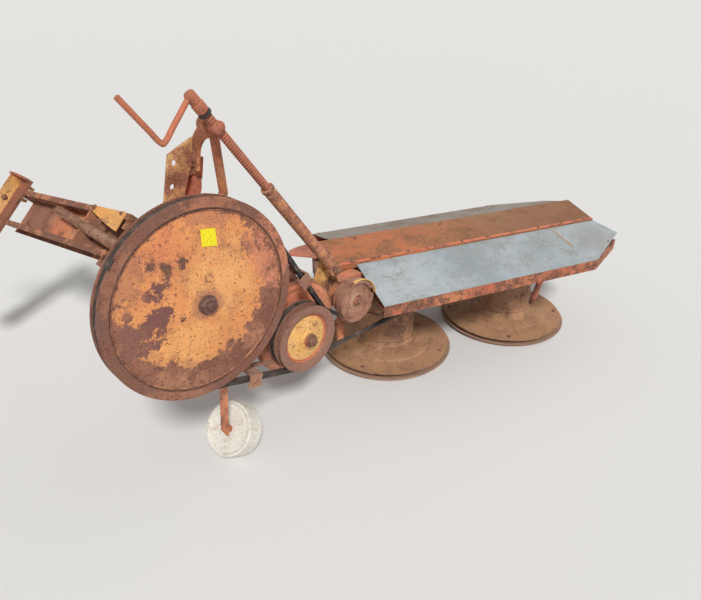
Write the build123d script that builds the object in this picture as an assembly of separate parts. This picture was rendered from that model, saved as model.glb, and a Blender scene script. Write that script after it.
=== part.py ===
from build123d import *
import math
import os

os.makedirs("parts", exist_ok=True)

# Two-drum mower with a belt drive, parked on its two skid dishes and a small support wheel.
# Millimetres. X runs across the machine, Y forward in travel, Z up from the ground. While it
# is drawn, the drive shaft lies along Y through X = 0; the whole is centred at the end.

# Drive shaft, its housing and the large belt pulley
shaft_height = 721.0
shaft_radius = 22.0
shaft_rear, shaft_front = -40.0, 792.0
spline_end, spline_root, spline_radius, spline_count = 1078.0, 14.7, 17.5, 6
turn_gap = 0.05
pulley_radius = 306.0
pulley_rim_inner = 276.0
pulley_rear, pulley_front = -20.0, 25.0
pulley_wall = 6.0
housing_radius, housing_bore = 45.0, 32.0
housing_rear, housing_front, bush_length = 33.0, 452.0, 30.0

# Belts, both 22 wide and 14 deep, in two planes
belt_wide, belt_deep = 22.0, 14.0
belt_gap = 0.4
drive_plane, drum_plane = 4.0, 34.0
drive_pitch, driven_pitch, idler_pitch, drum_pitch_radius = 295.0, 119.0, 78.0, 160.0
driven_x, driven_z, driven_radius = 380.0, 421.0, 127.0
idler_x, idler_z, idler_radius = 635.0, 474.0, 86.0
axle_radius = 15.0
guard_x, guard_z, guard_radius, guard_rear = 390.0, 435.0, 180.0, 62.0

# Cutter beam: first drum's place, angle back from straight across, and the drums' spacing
drum_x, drum_y = 1037.0, 194.0
beam_swing = 21.46
drum_spacing = 678.5
beam_left, beam_right, beam_half = -330.0, 790.0, 85.0
beam_low, beam_high = 410.0, 500.0
drum_belt_height, drum_groove_play = 275.0, 16.0
drum_radius, drum_foot_radius = 130.0, 142.0
drum_top, drum_foot = 392.0, 72.0
disc_radius, disc_step = 296.0, 212.0
dish_radius = 309.0
spindle_radius = 25.0

# Hood over the beam
plate_half, plate_top, plate_wall = 131.0, 531.0, 5.0
plate_left, plate_right_near, plate_right_far = -290.0, 1043.0, 1132.0
sheet_half, sheet_low, sheet_wall, sheet_gap = 391.0, 457.3, 2.5, 0.3
lip_wall, lip_depth = 3.0, 16.0
sheet_left, sheet_corner = -215.0, 842.0
tip_along, tip_half = 1092.0, 250.0
frame_low, frame_wall, frame_flange = 409.0, 6.0, 34.0
frame_high = sheet_low - sheet_gap
drop_along, drop_length = 592.0, 160.0

# Swing arm from the housing to the beam
arm_rear, arm_front = 94.0, 150.0
arm_end_x, arm_end_z, arm_half = 660.0, 470.0, 45.0
arm_hub = 72.0

# Support wheel and its leg; the wheel leans over and stands on the edge of its tread
wheel_x, wheel_y, wheel_radius, wheel_wide = 110.5, 110.0, 100.0, 70.0
wheel_lean, wheel_turn = 36.5, 10.5
leg_wide, leg_wall = 38.0, 9.0
stub_radius = 12.0

# Screw link between the mast's head and the swing arm, in the plane Y = link_plane
link_plane = 60.0
pivot_x, pivot_z = 149.0, shaft_height + 457
eye_x, eye_z = 573.0, 610.0
knob_back, crank_radius, brace_radius = 110.0, 8.0, 14.0
screw_radius, screw_end, trunnion_radius = 14.0, 354.0, 10.0
sleeve_radius, sleeve_bore, sleeve_start, sleeve_bore_end = 20.0, 15.5, 254.0, 515.0
eye_radius, eye_bore, eye_pin = 27.0, 12.0, 9.0

# Headstock: rolled about the drive shaft as it is parked, and a little off square
headstock_roll, headstock_skew, skew_middle = 42.0, 8.5, 800.0
rail_inner, rail_wall, rail_flange = 64.0, 6.0, 18.0
rail_low, rail_high = -75.0, 15.0
rail_rear, rail_bend, rail_front = 240.0, 560.0, 1478.0
floor_front, cover_front = 1430.0, 818.0
collar_radius = 54.0
cross_rear, cross_front, cross_high, cross_left, cross_right = 1463.0, 1533.0, 79.0, -440.0, 124.0
cross_wall, shelf_wall, shelf_rear = 8.0, 10.0, 1387.0
link_pin_radius, link_pin_shank, link_pin_reach = 11.0, 13.0, 52.0
ear_wide, ear_rear, ear_front, ear_low = 74.0, 1484.0, 1560.0, -45.0
top_link_bore, top_link_height = 9.6, 230.0


def rod(start, end, radius):
    """Round bar from one point to another."""
    line = Vector(*end) - Vector(*start)
    place = Plane(origin=start, z_dir=line)
    return place * Cylinder(radius, line.length, align=(Align.CENTER, Align.CENTER, Align.MIN))


def bar(start, end, wide, deep, across=(0, 1, 0)):
    """Rectangular bar from one point to another, its width along across."""
    line = Vector(*end) - Vector(*start)
    place = Plane(origin=start, x_dir=across, z_dir=line)
    return place * Box(wide, deep, line.length, align=(Align.CENTER, Align.CENTER, Align.MIN))


def block(low, high):
    """Box between two corners."""
    size = [b - a for a, b in zip(low, high)]
    return Pos(*low) * Box(*size, align=(Align.MIN, Align.MIN, Align.MIN))


def disc_y(x, z, radius, rear, front):
    """Round disc about a line parallel to Y."""
    return rod((x, rear, z), (x, front, z), radius)


def turned_y(points, x, z):
    """Solid turned about the Y line through x, z from (radius, y) points."""
    outline = Polyline(*[(r, y, 0) for r, y in points], close=True)
    return Pos(x, 0, z) * revolve(make_face(outline), Axis.Y)


def turned_z(points):
    """Solid turned about Z from (radius, z) points."""
    outline = Polyline(*[(r, 0, z) for r, z in points], close=True)
    return revolve(make_face(outline), Axis.Z)


def polar(centre, radius, angle):
    """Point on a circle in the X, Z plane."""
    turn = math.radians(angle)
    return (centre[0] + radius * math.cos(turn), centre[1] + radius * math.sin(turn))


def side_plate(points, rear, front):
    """Plate with an outline of (x, z) points, between two Y values."""
    outline = Polyline(*[(x, rear, z) for x, z in points], close=True)
    return extrude(make_face(outline), amount=front - rear, dir=(0, 1, 0))


def belt_arc(centre, pitch, start, end, plane):
    """Belt round part of a pulley, from one angle to a larger one."""
    low, high = pitch - belt_deep / 2, pitch + belt_deep / 2
    rear = plane - belt_wide / 2

    def spot(radius, angle):
        x, z = polar(centre, radius, angle)
        return (x, rear, z)

    middle = (start + end) / 2
    edges = [
        ThreePointArc(spot(high, start), spot(high, middle), spot(high, end)),
        Line(spot(high, end), spot(low, end)),
        ThreePointArc(spot(low, end), spot(low, middle), spot(low, start)),
        Line(spot(low, start), spot(high, start)),
    ]
    return extrude(make_face(edges), amount=belt_wide, dir=(0, 1, 0))


def belt_run(start, end, plane):
    """Straight belt between two (x, z) points of one plane."""
    (x1, z1), (x2, z2) = start, end
    return bar((x1, plane, z1), (x2, plane, z2), belt_wide, belt_deep)


def turning_run(start, end, deep_start, deep_end, steps=3):
    """Straight belt whose section turns from one direction of its depth to another."""
    a, b = Vector(*start), Vector(*end)
    along = (b - a).normalized()
    first, last = Vector(*deep_start), Vector(*deep_end)
    faces = []
    for step in range(steps + 1):
        turn = step / steps * math.pi / 2
        deep = first * math.cos(turn) + last * math.sin(turn)
        deep = (deep - along * along.dot(deep)).normalized() * (belt_deep / 2)
        wide = along.cross(deep).normalized() * (belt_wide / 2)
        c = a + (b - a) * (step / steps)
        corners = [c + wide + deep, c + wide - deep, c - wide - deep, c - wide + deep]
        faces.append(make_face(Polyline(*corners, close=True)))
    return loft(faces, ruled=True)


nodes = {}
shaft_line = (0.0, shaft_height)
driven = (driven_x, driven_z)
idler = (idler_x, idler_z)
beam_place = Pos(drum_x, drum_y, 0) * Rot(0, 0, -beam_swing)
beam_turn = math.radians(beam_swing)
run_bore = shaft_radius + turn_gap
seat_bore = housing_radius + turn_gap
mast_place = Pos(0, 0, shaft_height)

# Shaft housing: a tube with a bush at each end, a collar for the wheel leg and a saddle
housing = disc_y(*shaft_line, housing_radius, housing_rear, housing_front)
leg_collar = disc_y(*shaft_line, 62, 50, 88)
leg_ear = block((0, 50, shaft_height - 81), (94, 88, shaft_height - 21))
saddle = disc_y(*shaft_line, 70, 160, 220)
housing += leg_collar + leg_ear + saddle
housing -= disc_y(*shaft_line, run_bore, housing_rear - 5, housing_front + 5)
housing -= disc_y(*shaft_line, housing_bore, housing_rear + bush_length, housing_front - bush_length)
nodes["shaft_housing"] = housing

# Drive shaft with splines on the end that the tractor turns
shaft = disc_y(*shaft_line, shaft_radius, shaft_rear, shaft_front)
shaft += disc_y(*shaft_line, spline_root, shaft_front - 5, spline_end)
for index in range(spline_count):
    tooth = block((-3, shaft_front - 5, spline_root - 3), (3, spline_end, spline_radius))
    shaft += Pos(0, 0, shaft_height) * Rot(0, 360 / spline_count * index, 0) * tooth
nodes["drive_shaft"] = shaft

# Large pulley: rim with the drive belt's groove, a bulged web and a hub
edge = belt_wide / 2 + 1
drive_floor = drive_pitch - belt_deep / 2 - belt_gap
nodes["drive_pulley"] = turned_y(
    [
        (pulley_radius, pulley_rear),
        (pulley_radius, drive_plane - edge),
        (drive_floor, drive_plane - edge),
        (drive_floor, drive_plane + edge),
        (pulley_radius, drive_plane + edge),
        (pulley_radius, pulley_front),
        (pulley_rim_inner, pulley_front),
        (pulley_rim_inner, pulley_rear + 6 + pulley_wall),
        (60, pulley_rear - 10 + pulley_wall),
        (48, pulley_rear - 10 + pulley_wall),
        (48, 28),
        (shaft_radius, 28),
        (shaft_radius, pulley_rear - 10),
        (60, pulley_rear - 10),
        (pulley_rim_inner - 6, pulley_rear + 6),
        (pulley_rim_inner, pulley_rear + 4),
        (pulley_rim_inner, pulley_rear),
    ],
    *shaft_line,
)
nodes["pulley_nut"] = turned_y(
    [
        (0, -54),
        (12, -53),
        (24, -47),
        (30, -40),
        (30, -30.2),
        (shaft_radius, -30.2),
        (shaft_radius, shaft_rear),
        (0, shaft_rear),
    ],
    *shaft_line,
)

# Support wheel on a stub at the foot of its leg
half = wheel_wide / 2
stub_bore = stub_radius + turn_gap
wheel_outline = [
    (stub_bore, 12 - half),
    (26, 12 - half),
    (28, 9 - half),
    (wheel_radius - 15, 9 - half),
    (wheel_radius - 12, 3 - half),
    (wheel_radius - 8, -half),
    (wheel_radius - 3, -half),
    (wheel_radius, 3 - half),
    (wheel_radius, half - 3),
    (wheel_radius - 3, half),
    (wheel_radius - 12, half),
    (wheel_radius - 16, half - 10),
    (28, half - 10),
    (26, half),
    (stub_bore, half),
]
lean = math.radians(wheel_lean)
wheel_z = max(radius * math.cos(lean) + along * math.sin(lean) for radius, along in wheel_outline)
axle_place = Pos(wheel_x, wheel_y, wheel_z) * Rot(0, 0, wheel_turn) * Rot(0, 90 + wheel_lean, 0)
nodes["support_wheel"] = axle_place * turned_z(wheel_outline)
leg = axle_place * rod((0, 0, -half - 12), (0, 0, half + 5), stub_radius)
leg += axle_place * rod((0, 0, half + 1), (0, 0, half + 9), 18)
hub_turn = math.radians(wheel_turn)
leg_x = wheel_x - (half + 18) * math.cos(lean) * math.cos(hub_turn)
leg_y = wheel_y - (half + 18) * math.cos(lean) * math.sin(hub_turn)
leg += bar((leg_x, leg_y, wheel_z + 14), (100, 69, shaft_height - 76), leg_wide, leg_wall)
leg += block((94, 51, shaft_height - 86), (94 + leg_wall, 87, shaft_height - 21))
nodes["wheel_leg"] = leg

# Mast on the saddle: two plates, a brace and a bent head that carries the screw's pivot
left_plate = mast_place * side_plate(
    [(-26, 49), (46, 49), (98, 264), (127, 328), (144, 410), (62, 373), (34, 264)], 184, 196
)
left_plate -= mast_place * (disc_y(77, 348, 9, 180, 200) + disc_y(60, 281, 9, 180, 200))
left_plate -= disc_y(*shaft_line, 70, 150, 230)
nodes["mast_plate_left"] = left_plate
right_plate = side_plate([(30, 59), (62, 49), (164, 249), (168, 291), (138, 297), (130, 259)], 204, 216)
right_plate += side_plate([(10, 59), (62, 59), (178, 279), (190, 339), (150, 359), (100, 279)], 216, 224)
right_plate = mast_place * right_plate
right_plate -= disc_y(*shaft_line, 70, 150, 230)
nodes["mast_plate_right"] = right_plate
brace_foot, brace_elbow, brace_top = (50, 178, 33), (222, 178, 228), (171, 113, 440)
brace = rod(brace_foot, brace_elbow, brace_radius) + rod(brace_elbow, brace_top, brace_radius)
brace += Pos(*brace_elbow) * Sphere(brace_radius)
brace = mast_place * brace - disc_y(*shaft_line, 70, 150, 230)
head = block((100, 196, 299), (152, 216, 327))
hook_points = [(146, 194, 315), (152, 188, 379), (156, 144, 433), (162, 114, 447)]
for begin, finish in zip(hook_points, hook_points[1:]):
    head += bar(begin, finish, 12, 40, across=(1, 0, 0)) + rod(
        (finish[0] - 6, *finish[1:]), (finish[0] + 6, *finish[1:]), 19
    )
link_x, link_z = eye_x - pivot_x, eye_z - pivot_z
link_length = math.hypot(link_x, link_z)
link_dir = (link_x / link_length, link_z / link_length)


def on_link(distance, y=link_plane):
    """Point on the screw's axis, measured from the swivel toward the eye."""
    return (pivot_x + link_dir[0] * distance, y, pivot_z + link_dir[1] * distance)


head = mast_place * (head + block((126, 88, 431), (192, 122, 483)))
nodes["mast_brace"] = brace - head
nodes["mast_head"] = head - disc_y(pivot_x, pivot_z, trunnion_radius + turn_gap, 80, 130)

# Screw with its collars and crank, then the sleeve that ends in an eye
screw = rod(on_link(-62), on_link(screw_end), screw_radius)
screw += rod(on_link(-knob_back - 8), on_link(-80), 16) + rod(on_link(-84), on_link(-58), 18)
screw += rod(on_link(-52), on_link(-45), 19)
screw += disc_y(pivot_x, pivot_z, 22, link_plane - 22, link_plane + 22)
screw += disc_y(pivot_x, pivot_z, trunnion_radius, link_plane, 118)
nodes["screw"] = screw
elbow = (-12.0, link_plane, pivot_z - 23)
knob = on_link(-knob_back)
grip_end = (elbow[0] - link_dir[0] * 165, elbow[1], elbow[2] - link_dir[1] * 165)
crank = rod(knob, elbow, crank_radius) + rod(elbow, grip_end, crank_radius)
crank += Pos(*elbow) * Sphere(crank_radius)
crank -= rod(on_link(-knob_back - 30), on_link(-80), 16)
nodes["crank_handle"] = crank
sleeve = rod(on_link(sleeve_start), on_link(link_length - 20), sleeve_radius)
sleeve -= rod(on_link(sleeve_start + 40), on_link(sleeve_bore_end), sleeve_bore)
sleeve -= rod(on_link(sleeve_start - 5), on_link(sleeve_start + 50), screw_radius + turn_gap)
sleeve += disc_y(eye_x, eye_z, eye_radius, link_plane - 14, link_plane + 14)
sleeve -= disc_y(eye_x, eye_z, eye_bore, link_plane - 20, link_plane + 20)
nodes["screw_sleeve"] = sleeve

# Swing arm: a hub on the housing, a tapered box, the idler's axle, a pivot stub below, and
# a lug with the screw link's pin
arm = side_plate(
    [
        (0, shaft_height + 56),
        (arm_end_x - 40, arm_end_z + arm_half),
        (arm_end_x + 100, arm_end_z + arm_half),
        (arm_end_x + 100, arm_end_z - arm_half),
        (arm_end_x - 60, arm_end_z - arm_half),
        (0, shaft_height - 56),
    ],
    arm_rear,
    arm_front,
)
arm += disc_y(*shaft_line, arm_hub, arm_rear, arm_front)
arm += side_plate([(500, 520), (640, 500), (598, 630), (552, 636)], arm_rear, arm_rear + 14)
arm += disc_y(eye_x, eye_z, eye_pin, link_plane - 24, arm_rear + 4)
arm += disc_y(eye_x, eye_z, 14, link_plane - 24, link_plane - 17)
arm += disc_y(*idler, axle_radius, -10, arm_rear) + disc_y(*idler, 30, 61, arm_rear)
arm += rod((661, 116, 227), (661, 116, arm_end_z), axle_radius)
arm -= disc_y(*shaft_line, seat_bore, arm_rear - 5, arm_front + 5)
nodes["swing_arm"] = arm

# Hanger for the driven pulley's axle, and the round guard on it
hanger = side_plate([(330, 560), (440, 520), (425, 400), (380, 375), (335, 400)], 80, 94)
hanger += disc_y(*driven, axle_radius, -21, 80) + disc_y(*driven, 25, -31, -21)
hanger += disc_y(*driven, 32, 56, 80)
nodes["axle_hanger"] = hanger
guard = turned_y(
    [
        (0, guard_rear + 6),
        (guard_radius - 40, guard_rear + 6),
        (guard_radius - 24, guard_rear),
        (guard_radius - 8, guard_rear),
        (guard_radius - 8, guard_rear + 3),
        (guard_radius, guard_rear + 3),
        (guard_radius, guard_rear + 13),
        (guard_radius - 4, guard_rear + 13),
        (guard_radius - 4, guard_rear + 6),
        (guard_radius - 20, guard_rear + 6),
        (guard_radius - 36, guard_rear + 12),
        (0, guard_rear + 12),
    ],
    guard_x,
    guard_z,
)
guard -= disc_y(*driven, 32, guard_rear - 5, guard_rear + 20)
nodes["belt_guard"] = guard

# Driven pulley with two grooves and the idler with one
driven_floor = driven_pitch - belt_deep / 2 - belt_gap
nodes["driven_pulley"] = turned_y(
    [
        (axle_radius + turn_gap, -20.5),
        (30, -20.5),
        (36, -12),
        (driven_radius - 36, 0),
        (driven_radius - 30, -12),
        (driven_radius - 22, -15),
        (driven_radius, -15),
        (driven_radius, drive_plane - edge),
        (driven_floor, drive_plane - edge),
        (driven_floor, drive_plane + edge),
        (driven_radius, drive_plane + edge),
        (driven_radius, drum_plane - edge),
        (driven_floor, drum_plane - edge),
        (driven_floor, drum_plane + edge),
        (driven_radius, drum_plane + edge),
        (driven_radius, drum_plane + edge + 5),
        (driven_radius - 34, drum_plane + edge + 5),
        (driven_radius - 34, 8),
        (36, -2),
        (36, drum_plane + edge + 5),
        (axle_radius + turn_gap, drum_plane + edge + 5),
    ],
    *driven,
)
idler_floor = idler_pitch - belt_deep / 2 - belt_gap
idler_pulley = turned_y(
    [
        (axle_radius + turn_gap, 2),
        (28, 2),
        (30, 10),
        (idler_radius - 18, 10),
        (idler_radius - 14, -10),
        (idler_radius, -10),
        (idler_radius, drum_plane - edge),
        (idler_floor, drum_plane - edge),
        (idler_floor, drum_plane + edge + 8),
        (axle_radius + turn_gap, drum_plane + edge + 8),
    ],
    *idler,
)
chip = [polar(idler, radius, angle) for radius, angle in ((100, 30), (100, -2), (70, 6), (70, 24))]
nodes["idler_pulley"] = idler_pulley - side_plate(chip, -20, 8)

# Drive belt round the large pulley and the driven pulley's first groove
span = math.dist(shaft_line, driven)
bearing = math.degrees(math.atan2(driven_z - shaft_height, driven_x))
spread = math.degrees(math.acos((drive_pitch - driven_pitch) / span))
upper, lower = bearing + spread, bearing - spread
drive_belt = belt_arc(shaft_line, drive_pitch, upper, lower + 360, drive_plane)
drive_belt += belt_arc(driven, driven_pitch, lower, upper, drive_plane)
for angle in (upper, lower):
    drive_belt += belt_run(
        polar(shaft_line, drive_pitch, angle), polar(driven, driven_pitch, angle), drive_plane
    )
nodes["drive_belt"] = drive_belt

# Drum belt: driven pulley, a quarter turn to the drum, a quarter turn back to the idler
span = math.dist(driven, idler)
bearing = math.degrees(math.atan2(idler_z - driven_z, idler_x - driven_x))
crossed = bearing + math.degrees(math.acos((driven_pitch + idler_pitch) / span))
idler_reach = math.dist((idler_x, drum_plane), (drum_x, drum_y))
idler_bearing = math.degrees(math.atan2(drum_y - drum_plane, drum_x - idler_x))
far_touch = idler_bearing + math.degrees(math.asin(drum_pitch_radius / idler_reach)) + 90
driven_reach = math.dist((driven_x, drum_plane), (drum_x, drum_y))
driven_bearing = math.degrees(math.atan2(drum_y - drum_plane, drum_x - driven_x))
near_touch = driven_bearing - math.degrees(math.asin(drum_pitch_radius / driven_reach)) - 90


def on_drum(angle, radius=drum_pitch_radius, height=drum_belt_height):
    """Point round the first drum at the belt's height."""
    turn = math.radians(angle)
    return (drum_x + radius * math.cos(turn), drum_y + radius * math.sin(turn), height)


wrap_low = drum_belt_height - belt_wide / 2
wrap_angles = (near_touch, (near_touch + far_touch) / 2, far_touch)
wrap_inner = [on_drum(angle, drum_pitch_radius - belt_deep / 2, wrap_low) for angle in wrap_angles]
wrap_outer = [on_drum(angle, drum_pitch_radius + belt_deep / 2, wrap_low) for angle in wrap_angles]
wrap_edges = [
    ThreePointArc(*wrap_outer),
    Line(wrap_outer[2], wrap_inner[2]),
    ThreePointArc(*wrap_inner[::-1]),
    Line(wrap_inner[0], wrap_outer[0]),
]
drum_belt = extrude(make_face(wrap_edges), amount=belt_wide, dir=(0, 0, 1))
drum_belt += belt_arc(driven, driven_pitch, crossed, 270, drum_plane)
drum_belt += belt_arc(idler, idler_pitch, crossed + 180, 270, drum_plane)
drum_belt += belt_run(
    polar(driven, driven_pitch, crossed), polar(idler, idler_pitch, crossed + 180), drum_plane
)
near_turn, far_turn = math.radians(near_touch), math.radians(far_touch)
drum_belt += turning_run(
    (driven_x, drum_plane, driven_z - driven_pitch),
    on_drum(near_touch),
    (0, 0, 1),
    (-math.cos(near_turn), -math.sin(near_turn), 0),
)
drum_belt += turning_run(
    (idler_x, drum_plane, idler_z - idler_pitch),
    on_drum(far_touch),
    (0, 0, -1),
    (-math.cos(far_turn), -math.sin(far_turn), 0),
)
nodes["drum_belt"] = drum_belt

# Bent plates that keep the drive belt on, one beside each run
span_x, span_z = driven_x, shaft_height - driven_z
span_fall = math.degrees(math.atan2(span_z, span_x))
span_taper = math.degrees(math.asin((drive_pitch - driven_pitch) / math.hypot(span_x, span_z)))


def beside_run(side, along, aside):
    """Place on a run of the drive belt: side 1 above or -1 below, along it, and outward."""
    fall = math.radians(span_fall + side * span_taper)
    out = drive_pitch + aside
    x = side * math.sin(fall) * out + math.cos(fall) * along
    z = shaft_height + side * math.cos(fall) * out - math.sin(fall) * along
    return Pos(x, 0, z) * Rot(0, math.degrees(fall), 0)


upper_keep = block((-24, -17, -30), (24, -12, 16)) + block((-24, -17, 10), (24, arm_rear, 16))
upper_keep += block((-10, arm_rear - 6, -12), (62, arm_rear, 16))
nodes["upper_belt_guide"] = beside_run(1, 252, 3) * upper_keep
lower_keep = block((-24, -18, -26), (24, -13, 22)) + block((-24, -18, 16), (24, 62, 22))
lower_keep += block((20, 53, 10), (118, 62, 22))
nodes["lower_belt_guide"] = beside_run(-1, 240, 0) * lower_keep

# Beam and its bracket to the arm
beam = block((beam_left, -beam_half, beam_low), (beam_right, beam_half, beam_high))
for along in (0.0, drum_spacing):
    beam -= rod((along, 0, beam_low - 5), (along, 0, beam_high - 14), spindle_radius + turn_gap)
nodes["gear_beam"] = beam_place * beam
bracket_plan = Polyline(
    (arm_end_x - 10, arm_front, 424),
    (arm_end_x + 100, arm_front, 424),
    (arm_end_x + 100, 320, 424),
    (arm_end_x + 45, 320, 424),
    (arm_end_x - 10, 240, 424),
    close=True,
)
bracket = extrude(make_face(bracket_plan), amount=84, dir=(0, 0, 1))
nodes["beam_bracket"] = bracket - beam_place * block(
    (beam_left, -beam_half, 300), (beam_right, beam_half * 2, 600)
)

# Drums with their cutter discs, and the skid dishes that turn below them
for number, along in enumerate((0.0, drum_spacing), start=1):
    outline = [
        (0, 10),
        (spindle_radius, 10),
        (spindle_radius, 44),
        (drum_foot_radius - 10, 44),
        (disc_step - 14, 33),
        (disc_radius, 28),
        (disc_radius, 36),
        (disc_step + 4, 42),
        (disc_step - 2, 50),
        (disc_step - 14, 52),
        (drum_foot_radius + 6, 58),
        (drum_foot_radius, drum_foot),
        (drum_radius + 4, drum_foot + 4),
        (drum_radius, drum_foot + 14),
        (drum_radius, drum_top),
        (spindle_radius, drum_top),
        (spindle_radius, beam_high - 20),
        (0, beam_high - 20),
        (0, drum_top - 6),
        (drum_radius - 6, drum_top - 6),
        (drum_radius - 6, 60),
        (0, 60),
    ]
    drum = turned_z(outline)
    if number == 1:
        low = drum_belt_height - belt_wide / 2 - drum_groove_play
        high = drum_belt_height + belt_wide / 2 + drum_groove_play
        floor = drum_pitch_radius - belt_deep / 2 - belt_gap
        flange = drum_pitch_radius - 2
        groove = [
            (drum_radius - 1, low - 5),
            (flange, low - 5),
            (flange, low),
            (floor, low),
            (floor, high),
            (flange, high),
            (flange, high + 5),
            (drum_radius - 1, high + 5),
        ]
        drum += turned_z(groove)
    nodes[f"drum_{number}"] = beam_place * Pos(along, 0, 0) * drum
    dish = turned_z(
        [
            (0, 0),
            (dish_radius - 50, 0),
            (dish_radius, 13),
            (dish_radius, 18),
            (dish_radius - 51, 5),
            (62, 5),
            (56, 22),
            (spindle_radius + turn_gap, 22),
            (spindle_radius + turn_gap, 5),
            (0, 5),
        ]
    )
    nodes[f"skid_dish_{number}"] = beam_place * Pos(along, 0, 0) * dish

# Hood: a top plate with a folded rear edge, and two sheets that slope down to the frame
plate_low = plate_top - plate_wall
plate_points = [
    (plate_left, -plate_half),
    (plate_right_near, -plate_half),
    (plate_right_far, plate_half),
    (plate_left, plate_half),
]
plate_outline = Polyline(*[(u, v, plate_low) for u, v in plate_points], close=True)
plate = extrude(make_face(plate_outline), amount=plate_wall, dir=(0, 0, 1))
for end, side in ((plate_right_near, -plate_half - lip_wall), (plate_right_far, plate_half)):
    plate += block((plate_left, side, plate_low - lip_depth), (end, side + lip_wall, plate_top))
nodes["hood_top_plate"] = beam_place * plate
inner_half, inner_height = plate_half + lip_wall, plate_top - 10
slope = math.atan2(inner_height - sheet_low, sheet_half - inner_half)
for name, sign in (("near", -1), ("far", 1)):
    reach = (sheet_half - inner_half) / math.cos(slope)
    tip_reach = (tip_half - inner_half) / math.cos(slope)
    right = plate_right_near if name == "near" else plate_right_far
    flat = Polyline(
        (sheet_left, 0, 0),
        (sheet_left, -reach, 0),
        (sheet_corner, -reach, 0),
        (tip_along, -tip_reach, 0),
        (right, 0, 0),
        close=True,
    )
    sheet = extrude(make_face(flat), amount=sheet_wall, dir=(0, 0, 1))
    sheet = Pos(0, -inner_half, inner_height) * Rot(math.degrees(slope), 0, 0) * sheet
    if sign > 0:
        sheet = mirror(sheet, about=Plane.XZ)
    nodes[f"hood_{name}_sheet"] = beam_place * sheet

# Angle-iron frame below the sheets, and two brackets that tie it to the beam
for name, sign in (("near", -1), ("far", 1)):
    right = plate_right_near if name == "near" else plate_right_far
    corners = [(sheet_left, -sheet_half), (sheet_corner, -sheet_half), (tip_along, -tip_half)]
    corners.append((right + 12, -plate_half + 30))
    rim = []
    for (u1, v1), (u2, v2) in zip(corners, corners[1:]):
        run = math.dist((u1, v1), (u2, v2))
        heading = math.degrees(math.atan2(v2 - v1, u2 - u1))
        wall = block((0, 0, frame_low), (run, frame_wall, frame_high))
        wall += block((0, 0, frame_low), (run, frame_flange, frame_low + frame_wall))
        rim.append(Pos(u1, v1, 0) * Rot(0, 0, heading) * wall)
    frame = rim[0] + rim[1] + rim[2]
    if sign > 0:
        frame = mirror(frame, about=Plane.XZ)
    nodes[f"frame_{name}"] = beam_place * frame
for name, along in (("left", sheet_left + 40), ("right", 740.0)):
    tie = block(
        (along - 22, -sheet_half + frame_wall, frame_low + frame_wall),
        (along + 22, sheet_half - frame_wall, frame_low + frame_wall + 8),
    )
    tie -= block((beam_left, -beam_half, beam_low), (beam_right, beam_half, beam_high))
    tie += block((along - 22, -beam_half - 8, beam_high), (along + 22, beam_half + 8, plate_low))
    for sign in (-1, 1):
        low, high = sorted((sign * beam_half, sign * (beam_half + 8)))
        tie += block((along - 22, low, frame_low + 6), (along + 22, high, beam_high + 2))
    nodes[f"hood_bracket_{name}"] = beam_place * tie
drop_top = (drop_along - 45, frame_flange / 2 - sheet_half, frame_low - 3)
drop_foot = (drop_along, drop_top[1] + 75, frame_low - drop_length)
drop = rod(drop_foot, drop_top, 13)
drop -= block((0, -2 * sheet_half, frame_low), (drop_along + 100, 0, frame_low + 50))
nodes["drop_rod"] = beam_place * drop

# Headstock: a trough of two rails round the shaft, cranked sideways where it leaves the
# housing, and the cross channel that lies on its front end
headstock = Pos(0, 0, shaft_height) * Rot(0, -headstock_roll, 0)
skew = headstock * Pos(0, skew_middle, 0) * Rot(0, 0, headstock_skew) * Pos(0, -skew_middle, 0)
skew_turn = math.radians(headstock_skew)
jog = (skew_middle - rail_bend) * math.sin(skew_turn)
outer = rail_inner + rail_wall
edge_out = outer + rail_flange


def rail_run(sign, rear, front):
    """One straight length of rail: a web with a flange outward at its top and bottom."""
    rail = block((rail_inner, rear, rail_low), (outer, front, rail_high))
    for low in (rail_low, rail_high - rail_wall):
        rail += block((outer, rear, low), (edge_out, front, low + rail_wall))
    return rail if sign > 0 else mirror(rail, about=Plane.YZ)


for name, sign in (("near", -1), ("far", 1)):
    ends = sorted((sign * (rail_inner + 24 * (sign < 0)), sign * (rail_inner + 24 * (sign > 0)) + jog))
    splice = block((ends[0], rail_bend, rail_low), (ends[1], rail_bend + 8, rail_high))
    lead = rail_bend - sign * rail_inner * math.sin(skew_turn) + 2 * sign
    rail = headstock * (rail_run(sign, rail_rear, rail_bend + 4) + splice)
    nodes[f"hitch_rail_{name}"] = rail + skew * rail_run(sign, lead, rail_front)
for name, low in (("rear", rail_rear + 4), ("front", housing_front - 52)):
    plate = headstock * block((-rail_inner, low, rail_low), (rail_inner, low + 12, rail_high))
    plate += disc_y(*shaft_line, collar_radius, low, low + 40)
    nodes[f"hitch_collar_{name}"] = plate - disc_y(*shaft_line, seat_bore, low - 20, low + 60)
floor = block((-rail_inner, rail_bend + 30, -58), (rail_inner, floor_front, -50))
floor += block((-rail_inner, cover_front - 6, -58), (rail_inner, cover_front + 2, rail_high))
nodes["hitch_floor"] = skew * floor - disc_y(*shaft_line, shaft_radius + 2, 0, 2000)
cover_points = [(edge_out, 578), (edge_out, cover_front), (72, cover_front), (52, 749), (27, 660), (10, 578)]
cover = make_face(Polyline(*[(across, y, rail_high) for across, y in cover_points], close=True))
nodes["hitch_cover"] = skew * extrude(cover, amount=5, dir=(0, 0, 1))
shelf_top = rail_high + shelf_wall
cross = block((cross_left, shelf_rear, rail_high), (cross_right, cross_front, shelf_top))
cross += block((cross_left, cross_rear, rail_high), (cross_right, cross_rear + cross_wall, cross_high))
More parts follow.
